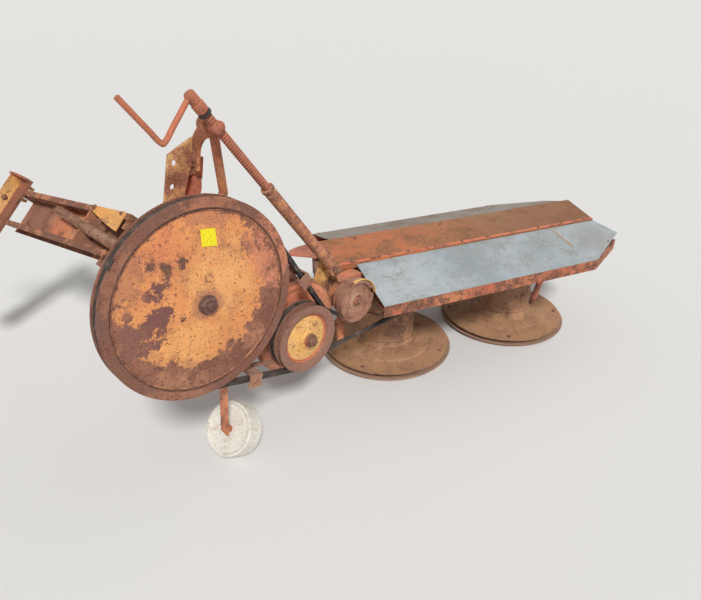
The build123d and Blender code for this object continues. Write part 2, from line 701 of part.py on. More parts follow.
end_points = [
    (shelf_rear, rail_high),
    (shelf_rear, shelf_top + 15),
    (shelf_rear + 14, shelf_top + 35),
    (shelf_rear + 40, shelf_top + 53),
    (cross_rear + cross_wall, shelf_top + 60),
    (cross_rear + cross_wall, rail_high),
]
end_face = make_face(Polyline(*[(cross_right, y, z) for y, z in end_points], close=True))
cross += extrude(end_face, amount=8, dir=(1, 0, 0))
ear_table = {"right": (cross_right - ear_wide, cross_right), "left": (cross_left, cross_left + ear_wide)}
for low, high in ear_table.values():
    for across in (low, high - 12):
        cross += block((across, ear_rear, ear_low), (across + 12, ear_front, rail_high))
ear_pin = (cross_front, (ear_low + rail_high) / 2)
cross = skew * cross
for name, (low, high) in ear_table.items():
    pin = rod((low - 4, *ear_pin), (high + 4, *ear_pin), link_pin_shank)
    begin, sign = (low - 4, -1) if name == "right" else (high + 4, 1)
    pin += rod((begin, *ear_pin), (begin + sign * link_pin_reach, *ear_pin), link_pin_radius)
    pin = skew * pin
    nodes[f"link_pin_{name}"] = pin
    cross -= pin
top_across = (cross_left + cross_right) / 2
top_middle = (cross_rear + cross_wall + cross_front) / 2
ears = None
for across in (top_across - 38, top_across + 26):
    ear = block(
        (across, cross_rear + cross_wall, shelf_top), (across + 12, cross_front - 5, top_link_height)
    )
    ear += rod((across, top_middle, top_link_height), (across + 12, top_middle, top_link_height), 30)
    ears = ear if ears is None else ears + ear
ears -= rod(
    (top_across - 80, top_middle, top_link_height),
    (top_across + 80, top_middle, top_link_height),
    top_link_bore,
)
nodes["hitch_cross_channel"] = cross + skew * ears

# Centre the whole over the origin with its lowest point on the ground
low = [1e9] * 3
high = [-1e9] * 3
for shape in nodes.values():
    box = shape.bounding_box()
    low = [min(a, b) for a, b in zip(low, tuple(box.min))]
    high = [max(a, b) for a, b in zip(high, tuple(box.max))]
shift = (-(low[0] + high[0]) / 2, -(low[1] + high[1]) / 2, -low[2])
print("shift", [round(value, 3) for value in shift])
print("size", [round(b - a, 1) for a, b in zip(low, high)])
for name, shape in nodes.items():
    solids = len(shape.solids())
    if solids != 1:
        print(name, "solids", solids)
    export_step(Pos(*shift) * shape, f"parts/{name}.step")
print(len(nodes), "nodes")
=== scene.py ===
import math

import bmesh
import bpy
import numpy as np
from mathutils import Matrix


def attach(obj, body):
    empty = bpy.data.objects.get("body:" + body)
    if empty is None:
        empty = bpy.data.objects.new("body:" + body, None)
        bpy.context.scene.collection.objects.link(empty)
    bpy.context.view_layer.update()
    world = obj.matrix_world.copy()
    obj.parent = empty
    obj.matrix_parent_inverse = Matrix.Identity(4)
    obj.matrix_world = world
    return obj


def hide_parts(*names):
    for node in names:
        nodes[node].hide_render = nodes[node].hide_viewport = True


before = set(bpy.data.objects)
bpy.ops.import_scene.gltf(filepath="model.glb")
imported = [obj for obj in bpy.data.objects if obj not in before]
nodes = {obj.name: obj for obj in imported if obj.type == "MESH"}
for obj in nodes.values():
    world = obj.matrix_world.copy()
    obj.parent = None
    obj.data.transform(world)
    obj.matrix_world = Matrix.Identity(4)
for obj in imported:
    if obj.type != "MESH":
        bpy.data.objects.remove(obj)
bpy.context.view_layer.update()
print("frame loaded:", len(nodes), "nodes")

# Main places in metres, by X and Y from the drive shaft's axis and by height above the ground
# (the shaft's own is given in the frame), and how beam and headstock are turned, in degrees
layout = {
    "shaft": (-0.84751, -0.54574, 0.721), "firstDrum": (1.037, 0.194, 0.0), "drumSpacing": 0.6785,
    "beamSwing": 21.46, "hitchPivot": 0.8, "hitchRoll": 42.0, "hitchSkew": 8.5,
    "screwPivot": (0.149, 0.060, 1.178), "screwAlong": (0.424, 0.0, -0.568), "sleeveEye": (0.573, 0.0, 0.610),
    "drivenPulley": (0.380, 0.0, 0.421), "idlerPulley": (0.635, 0.0, 0.474), "beltGuard": (0.39, 0.06, 0.435),
    "wheel": (0.1105, 0.110, 0.09942), "wheelAxis": (-0.790396, -0.146491, 0.594823),
}
shaftX, shaftY, shaftHeight = layout["shaft"]
up, front = np.array([0.0, 0.0, 1.0]), np.array([0.0, -1.0, 0.0])


def unit(vector):
    vector = np.asarray(vector, float)
    return vector / np.linalg.norm(vector)


# Frames: an origin and three directions; a place in one is origin + a·first + b·second + c·third
swing, roll, skew = [math.radians(layout[angle]) for angle in ("beamSwing", "hitchRoll", "hitchSkew")]
rolled = np.array([math.cos(roll), 0.0, math.sin(roll)])
hitchAcross = rolled * math.cos(skew) + np.array([0.0, math.sin(skew), 0.0])
hitchAlong = -rolled * math.sin(skew) + np.array([0.0, math.cos(skew), 0.0])
hitchUp = np.array([-math.sin(roll), 0.0, math.cos(roll)])
hitchOrigin = np.array([0.0, layout["hitchPivot"], shaftHeight]) - layout["hitchPivot"] * hitchAlong
beamAlong, beamAcross = (math.cos(swing), -math.sin(swing), 0), (math.sin(swing), math.cos(swing), 0)
frames = {
    "ground": (np.zeros(3), (1, 0, 0), (0, 1, 0), up),
    "face": (np.array([0.0, 0.0, shaftHeight]), (1, 0, 0), (0, 0, 1), front),  # large pulley, from the front
    "beam": (np.array(layout["firstDrum"]), beamAlong, beamAcross, up),
    "hitch": (hitchOrigin, hitchAcross, hitchAlong, hitchUp),
    "hitchEnd": (hitchOrigin, hitchAlong, hitchUp, hitchAcross),
}


def inFrame(frameName, points):
    origin, *directions = frames[frameName]
    points = np.asarray(points, float)
    place = origin
    for column, direction in enumerate(directions):
        place = place + points[..., column:column + 1] * np.asarray(direction, float)
    return place + np.array([shaftX, shaftY, 0.0])


# Camera, whose focal length is in the photograph's pixels, and lamps
shot = {
    "place": (-0.688, -1.292, 1.5), "heading": -45.0, "pitch": -29.006, "focal": 557.49, "wide": 701,
    "film": 36.0, "nearest": 0.05,
}
cameraData = bpy.data.cameras.new("photoCamera")
cameraData.sensor_fit = "HORIZONTAL"
cameraData.sensor_width = shot["film"]
cameraData.lens = shot["film"] * shot["focal"] / shot["wide"]
cameraData.clip_start = shot["nearest"]
camera = bpy.data.objects.new("photoCamera", cameraData)
camera.location = inFrame("ground", shot["place"])
camera.rotation_euler = (math.radians(90 + shot["pitch"]), 0.0, math.radians(shot["heading"]))
bpy.context.scene.collection.objects.link(camera)
bpy.context.scene.camera = camera
bpy.context.scene.view_settings.view_transform = "Standard"

lamps = {
    "key": {"direction": (0.389, 0.629, -0.76), "strength": 2.6, "angle": 10.0},
    "fill": {"direction": (-0.7, 0.25, -0.6), "strength": 0.35, "angle": 60.0},
}
for lampName, lamp in lamps.items():
    sunData = bpy.data.lights.new(lampName, "SUN")
    sunData.energy = lamp["strength"]
    sunData.angle = math.radians(lamp["angle"])
    sun = bpy.data.objects.new(lampName, sunData)
    dx, dy, dz = lamp["direction"]
    sun.rotation_euler = (math.atan2(math.hypot(dx, dy), -dz), 0.0, math.atan2(dy, dx) - math.pi / 2)
    bpy.context.scene.collection.objects.link(sun)


# A node is added with its settings, and its inputs are values or links
def addNode(tree, kind, inputs=None, **settings):
    node = tree.nodes.new(kind)
    for key, value in settings.items():
        setattr(node, key, value)
    for key, value in (inputs or {}).items():
        socket = node.inputs[key]
        if isinstance(value, bpy.types.NodeSocket):
            tree.links.new(value, socket)
        else:
            socket.default_value = value
    return node


def calc(tree, operation, a, b, clamp=False):
    return addNode(tree, "ShaderNodeMath", {0: a, 1: b}, operation=operation, use_clamp=clamp).outputs[0]


def blendColour(tree, factor, a, b):
    a, b = [value if isinstance(value, bpy.types.NodeSocket) else (*value, 1.0) for value in (a, b)]
    return addNode(tree, "ShaderNodeMix", {0: factor, 6: a, 7: b}, data_type="RGBA").outputs[2]


def ramp(tree, value, low, high, outLow=0.0, outHigh=1.0):
    inputs = {"Value": value, "From Min": low, "From Max": high, "To Min": outLow, "To Max": outHigh}
    return addNode(tree, "ShaderNodeMapRange", inputs, interpolation_type="SMOOTHSTEP").outputs[0]


# Rises from 0 to 1 about a value, over the softness on each side of it
def softStep(tree, value, about, softness):
    return ramp(tree, value, calc(tree, "SUBTRACT", about, softness), calc(tree, "ADD", about, softness))


def noise(tree, vector, scale, detail, rough):
    inputs = {"Vector": vector, "Scale": scale, "Detail": detail, "Roughness": rough}
    return addNode(tree, "ShaderNodeTexNoise", inputs).outputs[0]


# Shader node group with named sockets; a None default is a vector that is linked
def newGroup(name, inputs, outputs):
    tree = bpy.data.node_groups.new(name, "ShaderNodeTree")
    for socketName, default in inputs.items():
        kind = "NodeSocketVector" if default is None else "NodeSocketFloat"
        socket = tree.interface.new_socket(name=socketName, in_out="INPUT", socket_type=kind)
        if default is not None:
            socket.default_value = default
    for socketName in outputs:
        tree.interface.new_socket(name=socketName, in_out="OUTPUT", socket_type="NodeSocketFloat")
    given = tree.nodes.new("NodeGroupInput").outputs
    return tree, given, tree.nodes.new("NodeGroupOutput").inputs


# Plain studio: soft light all round, and a pale background wherever the camera or a gloss looks
studioLight = {"onObject": 0.36, "seen": 0.80}
world = bpy.data.worlds.new("studio")
world.use_nodes = True
studio = world.node_tree
background = studio.nodes["Background"].inputs
rays = addNode(studio, "ShaderNodeLightPath").outputs
paleSeen = calc(studio, "MAXIMUM", rays["Is Glossy Ray"], rays["Is Transmission Ray"])
paleSeen = calc(studio, "MAXIMUM", rays["Is Camera Ray"], paleSeen)
strength = ramp(studio, paleSeen, 0.0, 1.0, studioLight["onObject"], studioLight["seen"])
studio.links.new(strength, background["Strength"])
background["Color"].default_value = (1.0, 1.0, 1.0, 1.0)
bpy.context.scene.world = world

# Paint that has flaked to rust: flake mask, stain round the flakes, fine grain, small specks and
# a height; a noise is (scale, detail, roughness), or the last two where its scale is worked out
flaking = {
    "broadNoise": (9.0, 0.68), "smallNoise": (6.0, 0.72), "grainNoise": (260.0, 5.0, 0.72),
    "speckNoise": (115.0, 3.0, 0.6), "broadShare": 0.68, "smallShare": 0.32, "smallFiner": 7.0,
    "stainBefore": 0.14, "stainAfter": 0.02, "speckFrom": 0.72, "speckGain": 0.2, "speckEdge": 0.05,
    "speckPit": 0.15, "crustSink": 0.8, "grainHeight": 0.4,
}
flakeGroup, given, taken = newGroup(
    "flakedPaint",
    {"Vector": None, "Patch Scale": 9.0, "Amount": 0.5, "Softness": 0.05, "Bias": 0.0, "Specks": 0.4},
    ["Mask", "Stain", "Grain", "Speck", "Height"],
)
smallScale = calc(flakeGroup, "MULTIPLY", given["Patch Scale"], flaking["smallFiner"])
broad = noise(flakeGroup, given["Vector"], given["Patch Scale"], *flaking["broadNoise"])
small = noise(flakeGroup, given["Vector"], smallScale, *flaking["smallNoise"])
grain = noise(flakeGroup, given["Vector"], *flaking["grainNoise"])
speckled = noise(flakeGroup, given["Vector"], *flaking["speckNoise"])
mixed = calc(flakeGroup, "ADD", calc(flakeGroup, "MULTIPLY", broad, flaking["broadShare"]),
             calc(flakeGroup, "MULTIPLY", small, flaking["smallShare"]))
mixed = calc(flakeGroup, "ADD", mixed, given["Bias"])
edgeAt = calc(flakeGroup, "SUBTRACT", 1.0, given["Amount"])
flake = softStep(flakeGroup, mixed, edgeAt, given["Softness"])
stain = ramp(flakeGroup, mixed, calc(flakeGroup, "SUBTRACT", edgeAt, flaking["stainBefore"]),
             calc(flakeGroup, "ADD", edgeAt, flaking["stainAfter"]))
speckLess = calc(flakeGroup, "MULTIPLY", given["Specks"], flaking["speckGain"])
speckAt = calc(flakeGroup, "SUBTRACT", flaking["speckFrom"], speckLess)
speck = ramp(flakeGroup, speckled, speckAt, calc(flakeGroup, "ADD", speckAt, flaking["speckEdge"]))
crust = calc(flakeGroup, "MULTIPLY", flake, calc(flakeGroup, "SUBTRACT", small, flaking["crustSink"]))
crust = calc(flakeGroup, "SUBTRACT", crust, calc(flakeGroup, "MULTIPLY", speck, flaking["speckPit"]))
height = calc(flakeGroup, "ADD", crust, calc(flakeGroup, "MULTIPLY", grain, flaking["grainHeight"]))
flakeOut = {"Mask": flake, "Stain": stain, "Grain": grain, "Speck": speck, "Height": height}
for socketName, value in flakeOut.items():
    flakeGroup.links.new(value, taken[socketName])

# Dust and bleaching on what faces up, broken by noise; a step is (from, to), and then may have
# what it gives at both ends
settling = {"facing": (0.1, 0.95), "breakNoise": (7.0, 0.7), "breakStep": (0.30, 0.66, 0.25, 1.0)}
dustGroup, given, taken = newGroup("settledDust", {"Vector": None, "Amount": 0.5, "Scale": 14.0}, ["Mask"])
normal = addNode(dustGroup, "ShaderNodeNewGeometry").outputs["Normal"]
upward = addNode(dustGroup, "ShaderNodeSeparateXYZ", {0: normal}).outputs["Z"]
facing = ramp(dustGroup, upward, *settling["facing"])
dusty = noise(dustGroup, given["Vector"], given["Scale"], *settling["breakNoise"])
broken = ramp(dustGroup, dusty, *settling["breakStep"])
settled = calc(dustGroup, "MULTIPLY", calc(dustGroup, "MULTIPLY", facing, broken), given["Amount"], True)
dustGroup.links.new(settled, taken["Mask"])

# A given area: round or a ring about a centre, flattened along an axis, with a wavy edge
areaGroup, given, taken = newGroup(
    "placedArea",
    {"Vector": None, "Centre": None, "Flat": None, "Reach": 0.1, "Hole": -1.0, "Softness": 0.01,
     "Waver": 0.0},
    ["Mask"],
)
offset = addNode(areaGroup, "ShaderNodeVectorMath", {0: given["Vector"], 1: given["Centre"]},
                 operation="SUBTRACT")
offset = addNode(areaGroup, "ShaderNodeVectorMath", {0: offset.outputs[0], 1: given["Flat"]},
                 operation="MULTIPLY")
away = addNode(areaGroup, "ShaderNodeVectorMath", {0: offset.outputs[0]}, operation="LENGTH").outputs["Value"]
away = calc(areaGroup, "ADD", away, given["Waver"])
outside = softStep(areaGroup, away, given["Reach"], given["Softness"])
inside = softStep(areaGroup, away, given["Hole"], given["Softness"])
areaMask = calc(areaGroup, "MULTIPLY", calc(areaGroup, "SUBTRACT", 1.0, outside), inside)
areaGroup.links.new(areaMask, taken["Mask"])

baseLook = {
    "paint": (0.62, 0.26, 0.12), "faded": (0.74, 0.38, 0.18), "rust": (0.13, 0.06, 0.045),
    "rustLight": (0.30, 0.13, 0.08), "scale": 9.0, "amount": 0.46, "soft": 0.04, "specks": 0.45,
    "stain": 0.5, "dust": 0.2, "dustColour": (0.62, 0.46, 0.33), "paintRough": 0.52, "rustRough": 0.88,
    "bump": 0.45, "bumpDepth": 0.003, "metal": 0.0, "gloss": 0.16, "areas": [],
}
layers = {
    "fadeNoise": (4.2, 6.0, 0.66), "fadeStep": (0.38, 0.62), "waveNoise": (21.0, 6.0, 0.7),
    "rustStep": (0.38, 0.62), "grainShade": (0.32, 0.68, 0.76, 1.14), "speckShare": 0.75, "dustWorn": 0.8,
}


# Paint over rust over steel, with placed areas under the flakes and dust on top
def paintedMaterial(name, changes):
    look = {**baseLook, **changes}
    material = bpy.data.materials.new(name)
    material.use_nodes = True
    tree = material.node_tree
    shader = tree.nodes["Principled BSDF"].inputs
    place = addNode(tree, "ShaderNodeTexCoord").outputs["Object"]
    fade = ramp(tree, noise(tree, place, *layers["fadeNoise"]), *layers["fadeStep"])
    colour = blendColour(tree, fade, look["paint"], look["faded"])
    bias = 0.0
    if look["areas"]:
        wave = calc(tree, "SUBTRACT", noise(tree, place, *layers["waveNoise"]), 0.5)
    for patch in look["areas"]:
        mask = addNode(tree, "ShaderNodeGroup", {
            "Vector": place, "Centre": patch["centre"], "Flat": patch.get("flat", (1.0, 1.0, 1.0)),
            "Reach": patch["reach"], "Hole": patch.get("hole", -1.0), "Softness": patch.get("soft", 0.012),
            "Waver": calc(tree, "MULTIPLY", wave, patch.get("wave", 0.12)),
        }, node_tree=areaGroup).outputs["Mask"]
        kept = calc(tree, "MULTIPLY", mask, patch.get("keep", 1.0))
        colour = blendColour(tree, kept, colour, patch["colour"])
        if "bias" in patch:
            bias = calc(tree, "ADD", bias, calc(tree, "MULTIPLY", mask, patch["bias"]))
    flakes = addNode(tree, "ShaderNodeGroup", {
        "Vector": place, "Patch Scale": look["scale"], "Amount": look["amount"], "Softness": look["soft"],
        "Bias": bias, "Specks": look["specks"],
    }, node_tree=flakeGroup).outputs
    dustInputs = {"Vector": place, "Amount": look["dust"]}
    dust = addNode(tree, "ShaderNodeGroup", dustInputs, node_tree=dustGroup).outputs["Mask"]
    colour = blendColour(tree, calc(tree, "MULTIPLY", flakes["Stain"], look["stain"]), colour,
                         look["rustLight"])
    rusty = ramp(tree, flakes["Grain"], *layers["rustStep"])
    rusty = blendColour(tree, rusty, look["rust"], look["rustLight"])
    colour = blendColour(tree, flakes["Mask"], colour, rusty)
    specks = calc(tree, "MULTIPLY", flakes["Speck"], layers["speckShare"])
    colour = blendColour(tree, specks, colour, look["rust"])
    colour = blendColour(tree, dust, colour, look["dustColour"])
    grainShade = ramp(tree, flakes["Grain"], *layers["grainShade"])
    shaded = addNode(tree, "ShaderNodeMix", {0: 1.0}, data_type="RGBA", blend_type="MULTIPLY")
    tree.links.new(colour, shaded.inputs[6])
    tree.links.new(grainShade, shaded.inputs[7])
    tree.links.new(shaded.outputs[2], shader["Base Color"])
    worn = calc(tree, "MAXIMUM", flakes["Mask"], calc(tree, "MULTIPLY", dust, layers["dustWorn"]))
    tree.links.new(ramp(tree, worn, 0.0, 1.0, look["paintRough"], look["rustRough"]), shader["Roughness"])
    if look["metal"]:
        bare = calc(tree, "MULTIPLY", calc(tree, "SUBTRACT", 1.0, worn), look["metal"])
        tree.links.new(bare, shader["Metallic"])
    shader["Specular IOR Level"].default_value = look["gloss"]
    bumpInputs = {"Strength": look["bump"], "Distance": look["bumpDepth"], "Height": flakes["Height"]}
    tree.links.new(addNode(tree, "ShaderNodeBump", bumpInputs).outputs[0], shader["Normal"])
    return material


# A grid of points joined by four-sided faces: columns close on themselves, and rows either
# close too or end in a flat face
def gridShape(points, closed=False):
    rows, columns = points.shape[:2]
    index = np.arange(rows * columns).reshape(rows, columns)
    if closed:
        index = np.vstack([index, index[:1]])
    across = np.roll(index, -1, axis=1)
    faces = np.stack([index[:-1], across[:-1], across[1:], index[1:]], axis=-1).reshape(-1, 4).tolist()
    if not closed:
        faces += [index[0, ::-1].tolist(), index[-1].tolist()]
    return points.reshape(-1, 3), faces


# Turned form: point = origin + radius·(cos t · first + sin t · second) + along·axis, for a
# profile of (radius, along) and t once round; six steps make a hexagon
def turnedShape(profile, origin, axis, steps, closed=False, wave=None):
    profile = np.asarray(profile, float)
    axis = unit(axis)
    first = unit(np.cross(axis, (0.31, 0.22, 0.92)))
    second = np.cross(axis, first)
    angle = np.linspace(0.0, 2 * math.pi, steps, endpoint=False)
    reach = profile[:, 0, None] + (0 if wave is None else wave(profile[:, 1, None], angle[None, :]))
    ring = np.cos(angle)[:, None] * first + np.sin(angle)[:, None] * second
    points = np.asarray(origin) + reach[..., None] * ring[None] + profile[:, 1, None, None] * axis
    return gridShape(points, closed)


# Arc: point = centre + radius·(cos t · X + sin t · Z) + behind·Y
def arcPath(centre, radius, turn, behind):
    depth = np.broadcast_to(behind, turn.shape)
    return centre + np.stack([radius * np.cos(turn), depth, radius * np.sin(turn)], axis=-1)


# Path through a few points: a cubic on each run whose slope at a point is half the step
# between its neighbours
def smoothPath(points, perRun):
    p = np.asarray(points, float)
    slope = np.gradient(p, axis=0)
    t = np.linspace(0.0, 1.0, perRun, endpoint=False)[None, :, None]
    a, b, m, n = p[:-1, None], p[1:, None], slope[:-1, None], slope[1:, None]
    path = (2 * t**3 - 3 * t**2 + 1) * a + (t**3 - 2 * t**2 + t) * m
    path = path + (3 * t**2 - 2 * t**3) * b + (t**3 - t**2) * n
    return np.vstack([path.reshape(-1, 3), p[-1:]])


# Section carried along a path: point = path + size·(s·side + r·rise), where side is square to
# the path and to hint, and rise is square to both
def carriedShape(path, section, hint, size=1.0, closed=False):
    path, section = np.asarray(path, float), np.asarray(section, float)
    if closed:
        tangent = np.roll(path, -1, axis=0) - np.roll(path, 1, axis=0)
    else:
        tangent = np.gradient(path, axis=0)
    tangent /= np.linalg.norm(tangent, axis=1, keepdims=True)
    side = np.cross(tangent, np.broadcast_to(np.asarray(hint, float), path.shape))
    side /= np.linalg.norm(side, axis=1, keepdims=True)
    rise = np.cross(side, tangent)
    size = np.broadcast_to(size, len(path))[:, None, None]
    spread = section[None, :, :1] * side[:, None] + section[None, :, 1:] * rise[:, None]
    return gridShape(path[:, None] + size * spread, closed)


def roundSection(radius, steps):
    angle = np.linspace(0.0, 2 * math.pi, steps, endpoint=False)
    return np.stack([radius * np.cos(angle), radius * np.sin(angle)], axis=-1)


def flatSection(wide, deep, edge=0.0012):
    a, b = wide / 2, deep / 2
    return [(-a + edge, -b), (a - edge, -b), (a, -b + edge), (a, b - edge),
            (a - edge, b), (-a + edge, b), (-a, b - edge), (-a, -b + edge)]


# Flat plate: the outline at four heights, drawn in by the edge's width at the lowest and highest
def plateShape(frameName, outline, low, high, edge=0.001):
    outline = np.asarray(outline, float)
    centre = outline.mean(axis=0)
    inward = (centre - outline) / np.linalg.norm(centre - outline, axis=1, keepdims=True) * edge
    low, high = np.broadcast_to(low, len(outline)), np.broadcast_to(high, len(outline))
    rings = [(outline + inward, low), (outline, low + edge), (outline, high - edge), (outline + inward, high)]
    points = np.stack([np.concatenate([flat, rise[:, None]], axis=1) for flat, rise in rings])
    return gridShape(inFrame(frameName, points))


# Weld bead: a half-sunk round section carried along a straight line, whose size is
# 1 + short·sin + long·sin of the distance
welding = {"step": 0.0018, "short": 0.16, "shortEvery": 0.0055, "long": 0.08, "longEvery": 0.021}


def weldShape(start, end, radius=0.004, hint=(0.2, 0.3, 0.9)):
    start, end = np.asarray(start, float), np.asarray(end, float)
    length = np.linalg.norm(end - start)
    along = np.linspace(0.0, 1.0, max(8, int(length / welding["step"])))
    ripple = 1 + welding["short"] * np.sin(along * length / welding["shortEvery"] * 2 * math.pi)
    ripple = ripple + welding["long"] * np.sin(along * length / welding["longEvery"] * 2 * math.pi)
    return carriedShape(start + (end - start) * along[:, None], roundSection(radius, 10), hint, ripple)


# Bolt of a given size: a washer, a six-sided head with a chamfer and the bolt's end
boltForm = {
    22: [(1.45, -0.1), (1.5, 0.1), (1.4, 0.22), (0.4, 0.22)],
    6: [(1.0, 0.2), (1.0, 0.86), (0.84, 1.02)],
    14: [(0.5, 0.9), (0.5, 1.4), (0.38, 1.52)],
}


def boltShapes(frameName, places, axis, size):
    return [turnedShape(np.array(profile) * size, inFrame(frameName, place), axis, steps)
            for place in places for steps, profile in boltForm.items()]


# Puts shapes into one mesh, turns its faces outward and sets which body it rides on
def makePiece(name, shapes, body, material, replaced=(), sharp=38.0):
    counts = np.cumsum([0] + [len(points) for points, faces in shapes])
    points = np.concatenate([points for points, faces in shapes])
    faces = [[corner + int(first) for corner in face]
             for first, shape in zip(counts, shapes) for face in shape[1]]
    mesh = bpy.data.meshes.new(name)
    mesh.from_pydata(points.tolist(), [], faces)
    work = bmesh.new()
    work.from_mesh(mesh)
    bmesh.ops.recalc_face_normals(work, faces=work.faces[:])
    work.to_mesh(mesh)
    work.free()
    mesh.shade_smooth()
    mesh.set_sharp_from_angle(angle=math.radians(sharp))
    mesh.materials.append(materials[material])
    piece = bpy.data.objects.new(name, mesh)
    bpy.context.scene.collection.objects.link(piece)
    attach(piece, body)
    if replaced:
        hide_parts(*replaced)


def boltPiece(name, frameName, places, axis, size, body):
    makePiece(name, boltShapes(frameName, places, axis, size), body, "boltRust")


flatY = (1.0, 0.0, 1.0)


# Area of a finish: its centre in a frame, how far it reaches and its colour
def area(frameName, centre, reach, colour, **more):
    return {"centre": tuple(inFrame(frameName, centre)), "reach": reach, "colour": colour, **more}


# The same on the large pulley's face, through its whole depth
def spot(x, z, reach, colour, **more):
    return area("face", (x, z, 0.02), reach, colour, flat=flatY, **more)


# The same as a ring about a pulley's or a guard's centre
def band(centreName, reach, hole, colour, **more):
    return area("ground", layout[centreName], reach, colour, flat=flatY, hole=hole, **more)


darkRust, deepRust, midRust = (0.12, 0.062, 0.05), (0.085, 0.048, 0.042), (0.26, 0.125, 0.085)

